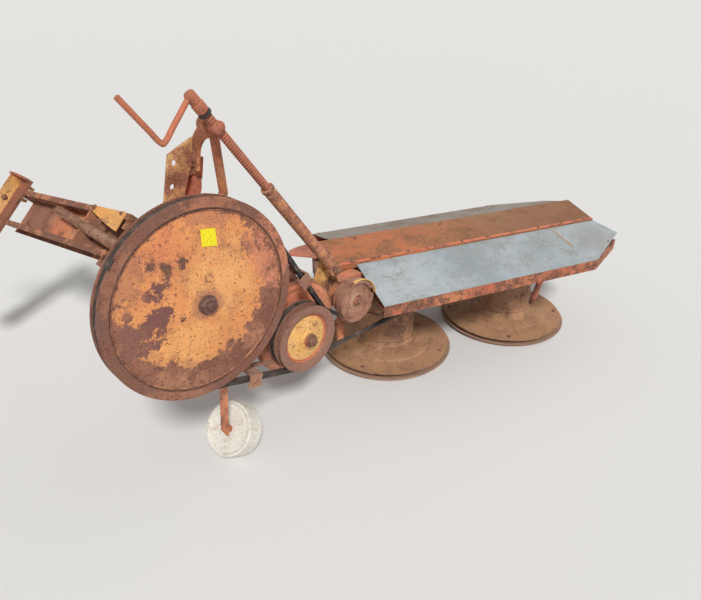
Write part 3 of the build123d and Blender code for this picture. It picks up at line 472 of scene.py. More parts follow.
# Finishes of the frame's nodes, each with its nodes, and then of the pieces made below
finishes = {
    "pulleyPaint": (
        dict(paint=(0.24, 0.105, 0.072), faded=(0.34, 0.15, 0.095), rust=(0.15, 0.07, 0.058), scale=13.0,
             amount=0.49, specks=0.6, dust=0.0, areas=[
                 spot(0.30, 0.06, 0.120, (0.74, 0.28, 0.16), soft=0.02, wave=0.2, bias=-0.03),
                 spot(0.20, -0.20, 0.07, (0.50, 0.22, 0.13), soft=0.03, wave=0.2),
                 spot(-0.02, 0.05, 0.232, (0.76, 0.31, 0.115), soft=0.010, wave=0.2, bias=-0.11),
                 spot(0.06, 0.06, 0.10, (0.84, 0.40, 0.15), soft=0.06, wave=0.5),
                 spot(-0.08, -0.10, 0.08, (0.84, 0.39, 0.14), soft=0.04, wave=0.4),
                 spot(-0.10, 0.19, 0.06, (0.70, 0.25, 0.11), soft=0.04, wave=0.3),
                 spot(-0.133, 0.082, 0.030, (0.20, 0.085, 0.075), soft=0.004, wave=0.22),
                 spot(-0.161, -0.006, 0.046, (0.21, 0.09, 0.075), soft=0.004, wave=0.26),
                 spot(-0.235, -0.020, 0.050, (0.25, 0.115, 0.085), soft=0.008, wave=0.26),
                 spot(-0.104, 0.146, 0.017, darkRust, soft=0.004, wave=0.12),
                 spot(-0.052, 0.140, 0.013, darkRust, soft=0.004, wave=0.12),
                 spot(-0.142, 0.161, 0.014, darkRust, soft=0.004, wave=0.12),
                 spot(0.166, 0.120, 0.028, (0.30, 0.13, 0.085), soft=0.008, wave=0.26),
                 spot(0.222, 0.027, 0.020, (0.26, 0.11, 0.08), soft=0.006, wave=0.2),
                 spot(-0.082, -0.020, 0.010, darkRust, soft=0.004, wave=0.1),
                 spot(0.0, 0.0, 0.048, (0.50, 0.22, 0.12), soft=0.010, wave=0.05, keep=0.8),
                 spot(0.0, 0.0, 0.330, (0.17, 0.092, 0.070), hole=0.272, soft=0.003, wave=0.004, keep=0.85),
                 spot(0.28, 0.10, 0.12, (0.66, 0.25, 0.14), soft=0.02, wave=0.3, keep=0.8),
                 spot(0.06, 0.29, 0.08, (0.50, 0.20, 0.11), soft=0.02, wave=0.4, keep=0.7),
                 spot(-0.24, 0.15, 0.07, (0.42, 0.18, 0.11), soft=0.02, wave=0.4, keep=0.6),
                 spot(-0.13, -0.27, 0.10, (0.44, 0.21, 0.13), soft=0.03, wave=0.2, keep=0.7),
                 spot(0.0, 0.0, 0.279, deepRust, hole=0.272, soft=0.0015, wave=0.003, keep=0.9),
             ]),
        ["drive_pulley"],
    ),
    "nutRust": (
        dict(paint=(0.115, 0.062, 0.055), faded=(0.17, 0.09, 0.075), rustLight=(0.20, 0.10, 0.08),
             amount=0.48, scale=34),
        ["pulley_nut"],
    ),
    "shaftRust": (
        dict(paint=(0.26, 0.14, 0.09), faded=(0.38, 0.20, 0.12), amount=0.48, scale=22, dust=0.15,
             specks=0.7),
        ["drive_shaft", "shaft_housing", "link_pin_left", "link_pin_right"],
    ),
    "railPaint": (
        dict(paint=(0.42, 0.16, 0.085), faded=(0.62, 0.25, 0.12), amount=0.53, scale=14, dust=0.05,
             specks=0.7),
        ["hitch_rail_near", "hitch_rail_far", "hitch_collar_rear", "hitch_collar_front"],
    ),
    "troughPaint": (
        dict(paint=(0.70, 0.22, 0.11), faded=(0.80, 0.33, 0.16), rust=(0.20, 0.09, 0.065), amount=0.44,
             scale=14, dust=0.0, areas=[
                 # The two darker areas on the floor under the shaft are painted shadow
                 area("hitch", (0.0, 1.30, -0.05), 0.14, (0.34, 0.17, 0.12), soft=0.05),
                 area("hitch", (0.0, 0.75, -0.05), 0.10, (0.36, 0.18, 0.12), soft=0.05),
             ]),
        ["hitch_floor"],
    ),
    "coverPaint": (
        dict(paint=(0.78, 0.32, 0.085), faded=(0.84, 0.44, 0.13), amount=0.40, scale=14, dust=0.1),
        ["hitch_cover"],
    ),
    "channelPaint": (
        dict(paint=(0.80, 0.40, 0.12), faded=(0.84, 0.50, 0.19), amount=0.42, scale=12, dust=0.1, specks=0.7),
        ["hitch_cross_channel"],
    ),
    "mastPaint": (
        dict(paint=(0.84, 0.56, 0.22), faded=(0.76, 0.36, 0.15), rust=(0.28, 0.11, 0.085),
             rustLight=(0.52, 0.22, 0.13), amount=0.50, scale=15, dust=0.0, specks=0.4),
        ["mast_plate_left"],
    ),
    "mastRedPaint": (
        dict(paint=(0.78, 0.19, 0.11), faded=(0.62, 0.19, 0.11), rust=(0.20, 0.08, 0.06), amount=0.42,
             scale=13, dust=0.05),
        ["mast_plate_right"],
    ),
    "bracePaint": (
        dict(paint=(0.60, 0.21, 0.12), faded=(0.70, 0.30, 0.15), amount=0.44, scale=18, dust=0.1),
        ["mast_brace", "mast_head"],
    ),
    "crankRust": (
        dict(paint=(0.66, 0.19, 0.095), faded=(0.48, 0.17, 0.095), amount=0.40, scale=26, dust=0.0),
        ["crank_handle"],
    ),
    "screwRust": (
        dict(paint=(0.40, 0.145, 0.085), faded=(0.50, 0.17, 0.10), amount=0.42, scale=30, dust=0.0),
        ["screw"],
    ),
    "sleevePaint": (
        dict(paint=(0.76, 0.46, 0.18), faded=(0.64, 0.28, 0.13), rust=(0.24, 0.10, 0.075),
             rustLight=(0.46, 0.20, 0.12), amount=0.52, scale=22, dust=0.0, specks=0.5),
        ["screw_sleeve"],
    ),
    "armPaint": (
        dict(paint=(0.64, 0.19, 0.10), faded=(0.74, 0.34, 0.16), amount=0.46, scale=13, dust=0.15, specks=0.6,
             areas=[
                 area("ground", (0.58, 0.094, 0.585), 0.07, (0.80, 0.44, 0.14), soft=0.03, wave=0.1),
             ]),
        ["swing_arm", "axle_hanger"],
    ),
    # Beam and its bracket: dark brown paint as painted shade under the hood, over their rust
    "beamShadedRust": (
        dict(paint=(0.22, 0.11, 0.075), faded=(0.32, 0.16, 0.10), amount=0.48, scale=16, dust=0.15),
        ["beam_bracket", "gear_beam"],
    ),
    "guardPaint": (
        dict(paint=(0.70, 0.23, 0.125), faded=(0.80, 0.34, 0.18), amount=0.38, scale=16, dust=0.05,
             specks=0.6, areas=[
                 band("beltGuard", 0.19, 0.171, midRust, soft=0.004, wave=0.01, keep=0.7),
                 area("ground", (0.30, 0.06, 0.36), 0.07, (0.36, 0.17, 0.11), flat=flatY, soft=0.03,
                      keep=0.7),
             ]),
        ["belt_guard"],
    ),
    "drivenPaint": (
        dict(paint=(0.80, 0.44, 0.14), faded=(0.86, 0.54, 0.22), amount=0.38, scale=20, dust=0.0, specks=0.6,
             areas=[
                 band("drivenPulley", 0.15, 0.091, (0.30, 0.155, 0.11), soft=0.003, wave=0.01),
                 band("drivenPulley", 0.093, 0.084, (0.62, 0.20, 0.11), soft=0.002, wave=0.008),
             ]),
        ["driven_pulley"],
    ),
    "idlerRust": (
        dict(paint=(0.40, 0.20, 0.14), faded=(0.50, 0.27, 0.18), rust=(0.18, 0.09, 0.07), amount=0.44,
             scale=28, dust=0.0, areas=[
                 band("idlerPulley", 0.09, 0.071, (0.38, 0.21, 0.145), soft=0.002, wave=0.006),
                 band("idlerPulley", 0.033, 0.025, (0.58, 0.38, 0.26), soft=0.002, wave=0.008),
             ]),
        ["idler_pulley"],
    ),
    "plateRust": (
        dict(paint=(0.37, 0.165, 0.075), faded=(0.29, 0.125, 0.062), rust=(0.19, 0.085, 0.05),
             rustLight=(0.34, 0.165, 0.08), amount=0.47, scale=7.0, soft=0.08, dust=0.03, specks=0.6, areas=[
                 area("beam", (-0.10, 0.0, 0.53), 0.32, (0.56, 0.17, 0.065), soft=0.16, wave=0.5),
                 area("beam", (0.34, 0.05, 0.53), 0.14, (0.48, 0.17, 0.07), soft=0.10, wave=0.4, keep=0.7),
                 area("beam", (0.62, 0.10, 0.53), 0.10, (0.33, 0.20, 0.09), soft=0.08, wave=0.4, keep=0.7),
                 area("beam", (0.90, -0.04, 0.53), 0.18, (0.27, 0.105, 0.065), soft=0.10, wave=0.4, keep=0.8),
             ]),
        ["hood_top_plate"],
    ),
    "frameRedPaint": (
        dict(paint=(0.54, 0.15, 0.08), faded=(0.64, 0.24, 0.12), amount=0.49, scale=17, dust=0.05,
             specks=0.7),
        ["frame_near", "frame_far", "hood_bracket_left", "hood_bracket_right", "drop_rod"],
    ),
    # Drums: brown paint darkened as painted shade under the hood, with dust on what faces up
    "drumShadedRust": (
        dict(paint=(0.34, 0.185, 0.11), faded=(0.48, 0.27, 0.155), rust=(0.15, 0.085, 0.06),
             rustLight=(0.34, 0.185, 0.115), amount=0.47, scale=12, dust=0.75,
             dustColour=(0.52, 0.285, 0.145), specks=0.7, bump=0.7),
        ["drum_1", "drum_2"],
    ),
    "dishRust": (
        dict(paint=(0.50, 0.29, 0.18), faded=(0.40, 0.22, 0.15), rust=(0.22, 0.12, 0.085), amount=0.46,
             scale=14, dust=0.5, specks=0.7),
        ["skid_dish_1", "skid_dish_2"],
    ),
    "guideRust": (
        dict(paint=(0.30, 0.15, 0.11), faded=(0.42, 0.22, 0.14), amount=0.46, scale=26, dust=0.2),
        ["upper_belt_guide", "lower_belt_guide"],
    ),
    "legPaint": (
        dict(paint=(0.66, 0.22, 0.12), faded=(0.74, 0.33, 0.17), amount=0.44, scale=22, dust=0.0),
        ["wheel_leg"],
    ),
    "wheelPaint": (
        dict(paint=(0.80, 0.77, 0.69), faded=(0.74, 0.71, 0.63), rust=(0.40, 0.28, 0.20),
             rustLight=(0.60, 0.50, 0.40), amount=0.38, scale=26, soft=0.09, dust=0.1,
             dustColour=(0.66, 0.55, 0.43), specks=0.5),
        ["support_wheel"],
    ),
    "zincSheet": (
        dict(paint=(0.30, 0.345, 0.365), faded=(0.41, 0.455, 0.475), rust=(0.24, 0.235, 0.225),
             rustLight=(0.35, 0.36, 0.355), amount=0.44, scale=9, soft=0.08, dust=0.05, paintRough=0.48,
             rustRough=0.66, metal=0.2, bump=0.15, specks=0.3, stain=0.5, gloss=0.4,
             dustColour=(0.50, 0.47, 0.42), areas=[
                 area("beam", (-0.10, -0.30, 0.48), 0.16, (0.50, 0.54, 0.55), soft=0.10, wave=0.4, keep=0.8),
                 area("beam", (0.25, -0.20, 0.50), 0.10, (0.25, 0.29, 0.31), soft=0.08, wave=0.4, keep=0.6),
                 area("beam", (0.95, -0.26, 0.48), 0.10, (0.30, 0.28, 0.25), soft=0.06, wave=0.3, keep=0.6),
             ]),
        ["hood_near_sheet"],
    ),
    "dullSheet": (
        dict(paint=(0.25, 0.225, 0.20), faded=(0.31, 0.28, 0.25), rust=(0.17, 0.12, 0.09),
             rustLight=(0.25, 0.19, 0.15), amount=0.44, scale=7, soft=0.10, dust=0.15, paintRough=0.55,
             metal=0.1, bump=0.2, specks=0.4),
        ["hood_far_sheet"],
    ),
    "beltRubber": (
        dict(paint=(0.028, 0.024, 0.022), faded=(0.05, 0.043, 0.038), rust=(0.11, 0.085, 0.075),
             rustLight=(0.17, 0.13, 0.11), amount=0.40, scale=22, soft=0.12, dust=0.3,
             dustColour=(0.24, 0.19, 0.15), paintRough=0.7, bump=0.2, specks=0.3),
        ["drive_belt", "drum_belt"],
    ),
}
pieceFinishes = {
    "yellowTag": dict(paint=(0.86, 0.74, 0.02), faded=(0.84, 0.70, 0.02), rust=(0.50, 0.38, 0.04),
        rustLight=(0.66, 0.54, 0.04), amount=0.22, scale=30, dust=0.0, bump=0.1, specks=-0.5, stain=0.1,
        gloss=0.3),
    "blackRubber": dict(paint=(0.03, 0.028, 0.027), faded=(0.05, 0.045, 0.042), rust=(0.10, 0.07, 0.06),
        amount=0.35, scale=40, dust=0.1),
    # Shelf strip: dark for its rust and for painted shade on the flange's inner face
    "shelfRustAndShade": dict(paint=(0.46, 0.15, 0.085), faded=(0.28, 0.11, 0.075), rust=(0.12, 0.06, 0.045),
        amount=0.44, scale=20, dust=0.0),
    "boltRust": dict(paint=(0.22, 0.115, 0.085), faded=(0.33, 0.17, 0.11), amount=0.46, scale=60, dust=0.1),
    "weldRust": dict(paint=(0.42, 0.19, 0.11), faded=(0.56, 0.26, 0.14), amount=0.50, scale=40, dust=0.1),
    "lipPaint": dict(paint=(0.80, 0.20, 0.10), faded=(0.66, 0.22, 0.12), amount=0.42, scale=20, dust=0.0,
        specks=0.5),
    "lapRust": dict(paint=(0.46, 0.30, 0.20), faded=(0.52, 0.42, 0.34), amount=0.40, scale=30, dust=0.0),
    "hoodRedPaint": dict(paint=(0.52, 0.13, 0.085), faded=(0.60, 0.20, 0.12), amount=0.46, scale=16,
        dust=0.1),
}
materials = {}
for finishName, look in pieceFinishes.items():
    materials[finishName] = paintedMaterial(finishName, look)
for finishName, (look, members) in finishes.items():
    materials[finishName] = paintedMaterial(finishName, look)
    for member in members:
        nodes[member].data.materials.clear()
        nodes[member].data.materials.append(materials[finishName])
print("materials:", len(materials))

# Large pulley's nut, with its washer and the shaft's end; a profile is (radius, along the axis)
shaftFace = inFrame("face", (0, 0, 0))
pulleyNut = {
    "washer": [(0.0150, 0.0302), (0.0298, 0.0302), (0.0298, 0.0335), (0.0284, 0.0345), (0.0150, 0.0345)],
    "hexagon": [(0.0265, 0.0345), (0.0265, 0.0455), (0.0232, 0.0480)],
    "shaftEnd": [(0.0118, 0.0470), (0.0118, 0.0525), (0.0100, 0.0538)],
}
makePiece("pulleyNut", [
    turnedShape(pulleyNut["washer"], shaftFace, front, 48, True),
    turnedShape(pulleyNut["hexagon"], shaftFace, front, 6),
    turnedShape(pulleyNut["shaftEnd"], shaftFace, front, 24),
], "drive", "nutRust", ["pulley_nut"])

# Bead where the pulley's web meets its rim
webBead = {"radius": 0.271, "rise": 0.0142, "thick": 0.0030, "steps": 480, "ripples": 96, "ripple": 0.15}
turn = np.linspace(0.0, 2 * math.pi, webBead["steps"], endpoint=False)
beadPath = arcPath(shaftFace, webBead["radius"], turn, -webBead["rise"])
beadSize = 1 + webBead["ripple"] * np.sin(turn * webBead["ripples"])
beadSection = roundSection(webBead["thick"], 8)
makePiece("pulleyBead", [carriedShape(beadPath, beadSection, (0, 1, 0), beadSize, True)],
          "drive", "weldRust")

# Blank tag, lying on the web's slope
tag = {
    "corners": [(0.015, 0.220), (0.061, 0.212), (0.059, 0.162), (0.012, 0.171)], "from": 0.0002, "to": 0.0022,
    "edge": 0.0006, "webTop": 0.030, "webTopRadius": 0.060, "webFall": 0.0762,
}
corners = np.array(tag["corners"])
webRise = tag["webTop"] - (np.linalg.norm(corners, axis=1) - tag["webTopRadius"]) * tag["webFall"]
makePiece("blankTag", [plateShape("face", corners, webRise + tag["from"], webRise + tag["to"], tag["edge"])],
          "drive", "yellowTag")

# Clip across the belt, outside the rim; its turn is in degrees
clip = {"radius": 0.3074, "turn": (137.0, 142.5), "rise": 0.005, "steps": 12,
        "section": (0.0028, 0.032, 0.0006)}
clipTurn = np.radians(np.linspace(*clip["turn"], clip["steps"]))
clipPath = arcPath(shaftFace, clip["radius"], clipTurn, -clip["rise"])
makePiece("beltClip", [carriedShape(clipPath, flatSection(*clip["section"]), (0, 1, 0))],
          "drive", "blackRubber")
print("pulley dressed")

# Screw with its turned thread, and the swivel's hub and pin at its upper end
thread = {"crest": 0.014, "pitch": 0.009, "depth": 0.0030, "start": -0.040, "end": 0.354, "step": 0.0010}
swivel = {
    "head": [(0.014, -0.118), (0.0155, -0.116), (0.0160, -0.112), (0.0160, -0.090), (0.0150, -0.086),
             (0.0175, -0.084), (0.0180, -0.082), (0.0180, -0.062), (0.0172, -0.058), (0.0125, -0.057),
             (0.0125, -0.040)],
    "hub": [(0.0170, -0.019), (0.0185, -0.017), (0.0185, 0.020), (0.0175, 0.022)],
    "pin": [(0.0100, 0.020), (0.0100, 0.056), (0.0090, 0.058)],
}
pivot, screwAlong = inFrame("ground", layout["screwPivot"]), unit(layout["screwAlong"])
along = np.linspace(thread["start"], thread["end"], int((thread["end"] - thread["start"]) / thread["step"]))


# Thread: the radius falls from the crest by a rounded groove, whose place goes once along the
# pitch for each turn
def threadWave(distance, angle):
    phase = distance / thread["pitch"] - angle / (2 * math.pi)
    return -thread["depth"] * (0.5 + 0.5 * np.cos(2 * math.pi * phase)) ** 1.5


threadProfile = np.stack([np.full(len(along), thread["crest"]), along], axis=-1)
makePiece("threadedScrew", [
    turnedShape(threadProfile, pivot, screwAlong, 28, False, threadWave),
    turnedShape(swivel["head"], pivot, screwAlong, 40),
    turnedShape(swivel["hub"], pivot, (0, 1, 0), 44),
    turnedShape(swivel["pin"], pivot, (0, 1, 0), 28),
], "spindle", "screwRust", ["screw"], 60.0)

# Black ring under the screw's head
washer = {
    "steps": 40,
    "profile": [(0.0126, -0.0525), (0.0186, -0.0525), (0.0192, -0.0515), (0.0192, -0.0460),
                (0.0186, -0.0450), (0.0126, -0.0450)],
}
makePiece("screwWasher", [turnedShape(washer["profile"], pivot, screwAlong, washer["steps"], True)],
          "spindle", "blackRubber")

# Crank, bent from one round bar
crank = {
    "radius": 0.0079, "steps": 20, "perRun": 14,
    "path": [(0.0832, 0.060, 1.2662), (0.030, 0.060, 1.204), (-0.004, 0.060, 1.1635), (-0.0185, 0.060, 1.164),
             (-0.046, 0.060, 1.2005), (-0.1085, 0.060, 1.2842)],
}
crankPath = smoothPath(inFrame("ground", crank["path"]), crank["perRun"])
makePiece("bentCrank", [carriedShape(crankPath, roundSection(crank["radius"], crank["steps"]), (0, 1, 0))],
          "spindle", "crankRust", ["crank_handle"], 50.0)

# Collar at the sleeve's upper end
collar = {
    "steps": 40,
    "profile": [(0.0198, 0.2545), (0.0212, 0.2555), (0.0218, 0.258), (0.0218, 0.266), (0.0208, 0.268),
                (0.0198, 0.2685)],
}
makePiece("sleeveCollar", [turnedShape(collar["profile"], pivot, screwAlong, collar["steps"])],
          "sleeve", "weldRust")

# Nut on the pin that goes through the sleeve's eye
eyeNut = {"behind": 0.036, "size": 0.011}
eyeX, eyeY, eyeZ = layout["sleeveEye"]
boltPiece("eyeNut", "ground", [(eyeX, eyeY + eyeNut["behind"], eyeZ)], front, eyeNut["size"], "mower")
print("screw link dressed")

# Mast's head: a strap bent from the plate up and over to the ring that holds the swivel
mastHead = {
    "strap": [(0.146, 0.197, 1.034), (0.151, 0.194, 1.075), (0.153, 0.180, 1.115), (0.155, 0.150, 1.146),
              (0.158, 0.118, 1.158)],
    "perRun": 12, "section": (0.040, 0.011), "ringAt": (0.149, 0.0, 1.178),
    "ring": [(0.0102, 0.089), (0.0240, 0.089), (0.0255, 0.0905), (0.0255, 0.1195), (0.0240, 0.121),
             (0.0102, 0.121)],
    "foot": [(0.101, 0.197), (0.151, 0.197), (0.151, 0.215), (0.101, 0.215)], "footHeights": (1.021, 1.047),
    "footEdge": 0.002, "weld": [(0.128, 0.1965, 1.048), (0.164, 0.1965, 1.048)],
    "bolts": [(0.020, 0.184, 0.832), (0.048, 0.184, 0.905)], "boltSize": 0.0085,
}
strapPath = smoothPath(inFrame("ground", mastHead["strap"]), mastHead["perRun"])
makePiece("bentStrap", [
    carriedShape(strapPath, flatSection(*mastHead["section"]), (1, 0, 0)),
    turnedShape(mastHead["ring"], inFrame("ground", mastHead["ringAt"]), (0, 1, 0), 48, True),
    plateShape("ground", mastHead["foot"], *mastHead["footHeights"], mastHead["footEdge"]),
    weldShape(*inFrame("ground", mastHead["weld"])),
], "carrier", "bracePaint", ["mast_head"])
boltPiece("mastBolts", "ground", mastHead["bolts"], front, mastHead["boltSize"], "carrier")
print("mast dressed")

# Driven pulley's nut with its washer and the axle's end
driven = inFrame("ground", layout["drivenPulley"])
drivenNut = {
    "washer": [(0.018, 0.031), (0.0235, 0.031), (0.0235, 0.034), (0.018, 0.0345)],
    "hexagon": [(0.0190, 0.034), (0.0190, 0.044), (0.0168, 0.0465)],
    "axleEnd": [(0.0095, 0.046), (0.0095, 0.050), (0.0080, 0.0515)],
}
makePiece("drivenNut", [
    turnedShape(drivenNut["washer"], driven, front, 32, True),
    turnedShape(drivenNut["hexagon"], driven, front, 6),
    turnedShape(drivenNut["axleEnd"], driven, front, 18),
], "mower", "boltRust")

# Idler: its pressed face in rings, its nut, and the lip torn from its rim
idler = inFrame("ground", layout["idlerPulley"])
idlerForm = {
    "rib": [(0.0240, 0.0), (0.0262, 0.0005), (0.0268, 0.003), (0.0262, 0.0055), (0.0240, 0.006)],
    "face": [(0.0165, 0.001), (0.0180, 0.004), (0.0215, 0.004), (0.0235, 0.0005), (0.0300, -0.001),
             (0.0315, 0.002), (0.0345, 0.002), (0.0360, -0.001), (0.0500, -0.002), (0.0515, 0.0005),
             (0.0535, 0.0005), (0.0550, -0.002), (0.0685, -0.0015), (0.0685, -0.006), (0.0165, -0.006)],
    "nutRise": 0.010, "nutSize": 0.0085,
}
makePiece("idlerHub", [
    turnedShape(idlerForm["rib"], idler, front, 48, True),
    turnedShape(idlerForm["face"], idler, front, 72, True),
], "idler", "idlerRust")
idlerX, idlerY, idlerZ = layout["idlerPulley"]
nutPlace = (idlerX, idlerY - idlerForm["nutRise"], idlerZ)
boltPiece("idlerNut", "ground", [nutPlace], front, idlerForm["nutSize"], "mower")
lip = {"turn": (104.0, 6.0), "reach": 0.0866, "swell": 0.0015, "behind": (-0.008, -0.014),
       "section": (0.003, 0.014), "steps": 40}
lipReach = lip["reach"] + lip["swell"] * np.sin(np.linspace(0, math.pi, lip["steps"]))
lipTurn = np.radians(np.linspace(*lip["turn"], lip["steps"]))
lipPath = arcPath(idler, lipReach, lipTurn, np.linspace(*lip["behind"], lip["steps"]))
makePiece("tornLip", [carriedShape(lipPath, flatSection(*lip["section"]), (0, 1, 0))],
          "idler", "drivenPaint")
print("pulleys dressed")

# Hood: bolts along both folded edges, the red strip between them and the tongue at the left end
hood = {
    "top": 0.531, "boltSize": 0.0050,
    "nearBolts": (-0.235, -0.105, 0.03, 0.165, 0.30, 0.435, 0.57, 0.72, 0.86, 0.99), "nearAcross": -0.123,
    "nearRise": 0.0014, "farBolts": (-0.12, 0.32, 0.93), "farAcross": 0.095,
    "strip": [(-0.288, -0.1330), (1.042, -0.1330), (1.048, -0.1140), (-0.288, -0.1140)],
    "stripHeights": (0.5305, 0.5325), "stripEdge": 0.0005,
    "tongue": [(-0.280, 0.124), (-0.345, 0.119), (-0.400, 0.103), (-0.435, 0.083), (-0.445, 0.036),
               (-0.400, 0.002), (-0.350, -0.032), (-0.280, -0.060)],
    "tongueHeights": (0.5315, 0.5355),
}
boltPlaces = [(u, hood["nearAcross"], hood["top"] + hood["nearRise"]) for u in hood["nearBolts"]]
boltPlaces += [(u, hood["farAcross"], hood["top"]) for u in hood["farBolts"]]
boltPiece("hoodBolts", "beam", boltPlaces, up, hood["boltSize"], "mower")
makePiece("hoodEdgeStrip", [plateShape("beam", hood["strip"], *hood["stripHeights"], hood["stripEdge"])],
          "mower", "lipPaint")
makePiece("hoodTongue", [plateShape("beam", hood["tongue"], *hood["tongueHeights"])],
          "mower", "hoodRedPaint")

# Galvanised sheets: a lap on the near one, and bolts square to their slope
sheets = {
    "upperEdge": (0.134, 0.521), "lowerEdge": (0.391, 0.4573),  # distance from the beam's line, height
    "lap": [(0.775, -0.139), (0.784, -0.139), (0.800, -0.275), (0.793, -0.290), (0.786, -0.275)],
    "lapHeights": (0.5235, 0.5255), "lapEdge": 0.0005, "lean": (0.24, 0.97), "boltAcross": 0.375,
    "boltHeight": 0.462,
    "bolts": [(-0.19, 0.375), (0.12, 0.375), (0.45, 0.375), (0.80, 0.375), (0.99, -0.296)],
    "boltSize": 0.0045,
}
(nearest, highest), (farthest, lowest) = sheets["upperEdge"], sheets["lowerEdge"]
fall = (highest - lowest) / (farthest - nearest)
lap = np.array(sheets["lap"])
lapFall = (-lap[:, 1] - nearest) * fall
lapLow, lapHigh = sheets["lapHeights"]
makePiece("sheetLap", [plateShape("beam", lap, lapLow - lapFall, lapHigh - lapFall, sheets["lapEdge"])],
          "mower", "lapRust")
shapes = []
for u, v in sheets["bolts"]:
    outward, upward = sheets["lean"]
    lean = inFrame("beam", (0, outward * np.sign(v), upward)) - inFrame("beam", (0, 0, 0))
    rise = sheets["boltHeight"] + (sheets["boltAcross"] - abs(v)) * fall
    shapes += boltShapes("beam", [(u, v, rise)], lean, sheets["boltSize"])
makePiece("sheetBolts", shapes, "mower", "boltRust")
print("hood dressed")

# Drums: knife bolts on the discs, a ring at each foot and head, and seams down two sides; the
# knives' turn is in degrees, and the seams' turns are in radians
drums = {
    "knifeRadius": 0.270, "knifeHeight": 0.0372, "knifeSize": 0.0070, "knifeCount": 4, "knifeTurn": 20,
    "foot": [(0.1298, 0.088), (0.1335, 0.090), (0.1345, 0.094), (0.1335, 0.098), (0.1298, 0.100)],
    "head": [(0.1298, 0.374), (0.1325, 0.3755), (0.1330, 0.379), (0.1325, 0.3825), (0.1298, 0.384)],
    "seamRadius": 0.1302, "seamThick": 0.0026, "seamTurns": (-1.9, 1.3),
    "seams": [[(0.100, 0.248), (0.305, 0.372)], [(0.100, 0.372)]],  # heights on the first and second drum
}
for number, seams in enumerate(drums["seams"], start=1):
    body = ("drum_a", "drum_b")[number - 1]
    centre = inFrame("beam", ((number - 1) * layout["drumSpacing"], 0, 0))
    shapes = []
    for step in range(drums["knifeCount"]):
        turned = math.radians(360 / drums["knifeCount"] * step + drums["knifeTurn"] * number)
        reach, rise = drums["knifeRadius"], drums["knifeHeight"]
        place = centre + np.array([reach * math.cos(turned), reach * math.sin(turned), rise])
        shapes += boltShapes("ground", [place - np.array([shaftX, shaftY, 0.0])], up, drums["knifeSize"])
    makePiece(f"knifeBolts{number}", shapes, body, "boltRust")
    shapes = [turnedShape(drums[ring], centre, up, 96) for ring in ("foot", "head")]
    for seamTurn in drums["seamTurns"]:
        reach = drums["seamRadius"]
        edge = centre + np.array([reach * math.cos(seamTurn), reach * math.sin(seamTurn), 0.0])
        for low, high in seams:
            shapes.append(weldShape(edge + up * low, edge + up * high, drums["seamThick"], (0.3, 0.9, 0.1)))
    # The rings and seams take the drums' finish, darkened as painted shade
    makePiece(f"drumRings{number}", shapes, body, "drumShadedRust")
print("drums dressed")

# Headstock: the shelf strip with its front lip and end plate, dark for its rust and for painted shade, welds
# along the channel and rails, and bolts on the rails and the channel's back
shelf = {
    "top": [(-0.438, 1.3856), (0.122, 1.3856), (0.122, 1.460), (-0.438, 1.460)],
    "topHeights": (0.0250, 0.0262),
    "lip": [(-0.4405, 1.3856), (0.1235, 1.3856), (0.1235, 1.3872), (-0.4405, 1.3872)],
    "lipHeights": (0.0146, 0.0262),
    "end": [(1.3862, 0.0144), (1.3862, 0.0402), (1.4004, 0.0605), (1.4266, 0.0787), (1.4716, 0.0857),
            (1.4716, 0.0144)],
    "endBetween": (0.1234, 0.1326), "edge": 0.0004, "endEdge": 0.0006,
}
makePiece("shelfStrip", [
    plateShape("hitch", shelf["top"], *shelf["topHeights"], shelf["edge"]),
    plateShape("hitch", shelf["lip"], *shelf["lipHeights"], shelf["edge"]),
    plateShape("hitchEnd", shelf["end"], *shelf["endBetween"], shelf["endEdge"]),
], "headstock", "shelfRustAndShade")
hitchWelds = {
    "thick": 0.0036,
    "lines": [((-0.436, 1.4615, 0.0255), (0.120, 1.4615, 0.0255)),
              ((0.1225, 1.392, 0.026), (0.1225, 1.458, 0.026)),
              ((-0.119, 1.4725, 0.026), (-0.119, 1.526, 0.026)),
              ((-0.197, 1.4725, 0.026), (-0.197, 1.526, 0.026)),
              ((0.0705, 1.386, 0.0155), (0.0875, 1.386, 0.0155)),
              ((-0.0705, 1.386, 0.0155), (-0.0875, 1.386, 0.0155))],
}
shapes = [weldShape(*inFrame("hitch", line), hitchWelds["thick"]) for line in hitchWelds["lines"]]
makePiece("channelWelds", shapes, "headstock", "weldRust")
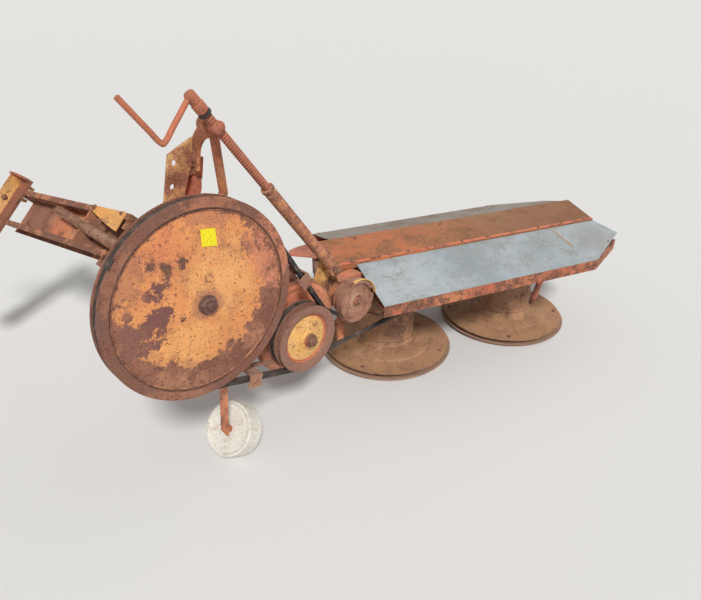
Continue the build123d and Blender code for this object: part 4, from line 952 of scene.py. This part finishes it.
hitchBolts = {
    "size": 0.0085, "back": [(-0.34, 1.4625, 0.052), (0.02, 1.4625, 0.052)],
    "top": [(0.079, 0.60, 0.0155), (0.079, 0.79, 0.0205), (0.030, 0.70, 0.0205), (-0.079, 1.30, 0.0155),
            (-0.079, 0.62, 0.0155), (0.079, 1.34, 0.0155)],
}
shapes = boltShapes("hitch", hitchBolts["top"], hitchUp, hitchBolts["size"])
shapes += boltShapes("hitch", hitchBolts["back"], -hitchAlong, hitchBolts["size"])
makePiece("hitchBolts", shapes, "headstock", "boltRust")
print("headstock dressed")

# Two pressed rings on the wheel's outer face, and bolts on the belt guard
wheelRings = {
    "outer": [(0.0700, 0.0250), (0.0712, 0.0278), (0.0738, 0.0278), (0.0750, 0.0250)],
    "inner": [(0.0300, 0.0250), (0.0312, 0.0270), (0.0345, 0.0270), (0.0360, 0.0250)],
}
wheelHub, wheelAxis = inFrame("ground", layout["wheel"]), layout["wheelAxis"]
makePiece("wheelRings", [
    turnedShape(wheelRings["outer"], wheelHub, wheelAxis, 72, True),
    turnedShape(wheelRings["inner"], wheelHub, wheelAxis, 60, True),
], "wheel", "wheelPaint")
guardBolts = {"places": [(0.270, 0.0675, 0.395), (0.305, 0.0675, 0.560), (0.500, 0.0675, 0.350)],
              "size": 0.0085}
boltPiece("guardBolts", "ground", guardBolts["places"], front, guardBolts["size"], "mower")
print("small parts dressed")

floorLook = {"colour": (0.74, 0.73, 0.71, 1.0), "rough": 0.95, "reach": 160.0}
floorMaterial = bpy.data.materials.new("floorPaint")
floorMaterial.use_nodes = True
floorShader = floorMaterial.node_tree.nodes["Principled BSDF"].inputs
floorShader["Base Color"].default_value = floorLook["colour"]
floorShader["Roughness"].default_value = floorLook["rough"]
floorMesh = bpy.data.meshes.new("floor")
reach = floorLook["reach"]
floorMesh.from_pydata([(-reach, -reach, 0), (reach, -reach, 0), (reach, reach, 0), (-reach, reach, 0)], [],
                      [(0, 1, 2, 3)])
floorMesh.materials.append(floorMaterial)
floor = bpy.data.objects.new("floor", floorMesh)
bpy.context.scene.collection.objects.link(floor)
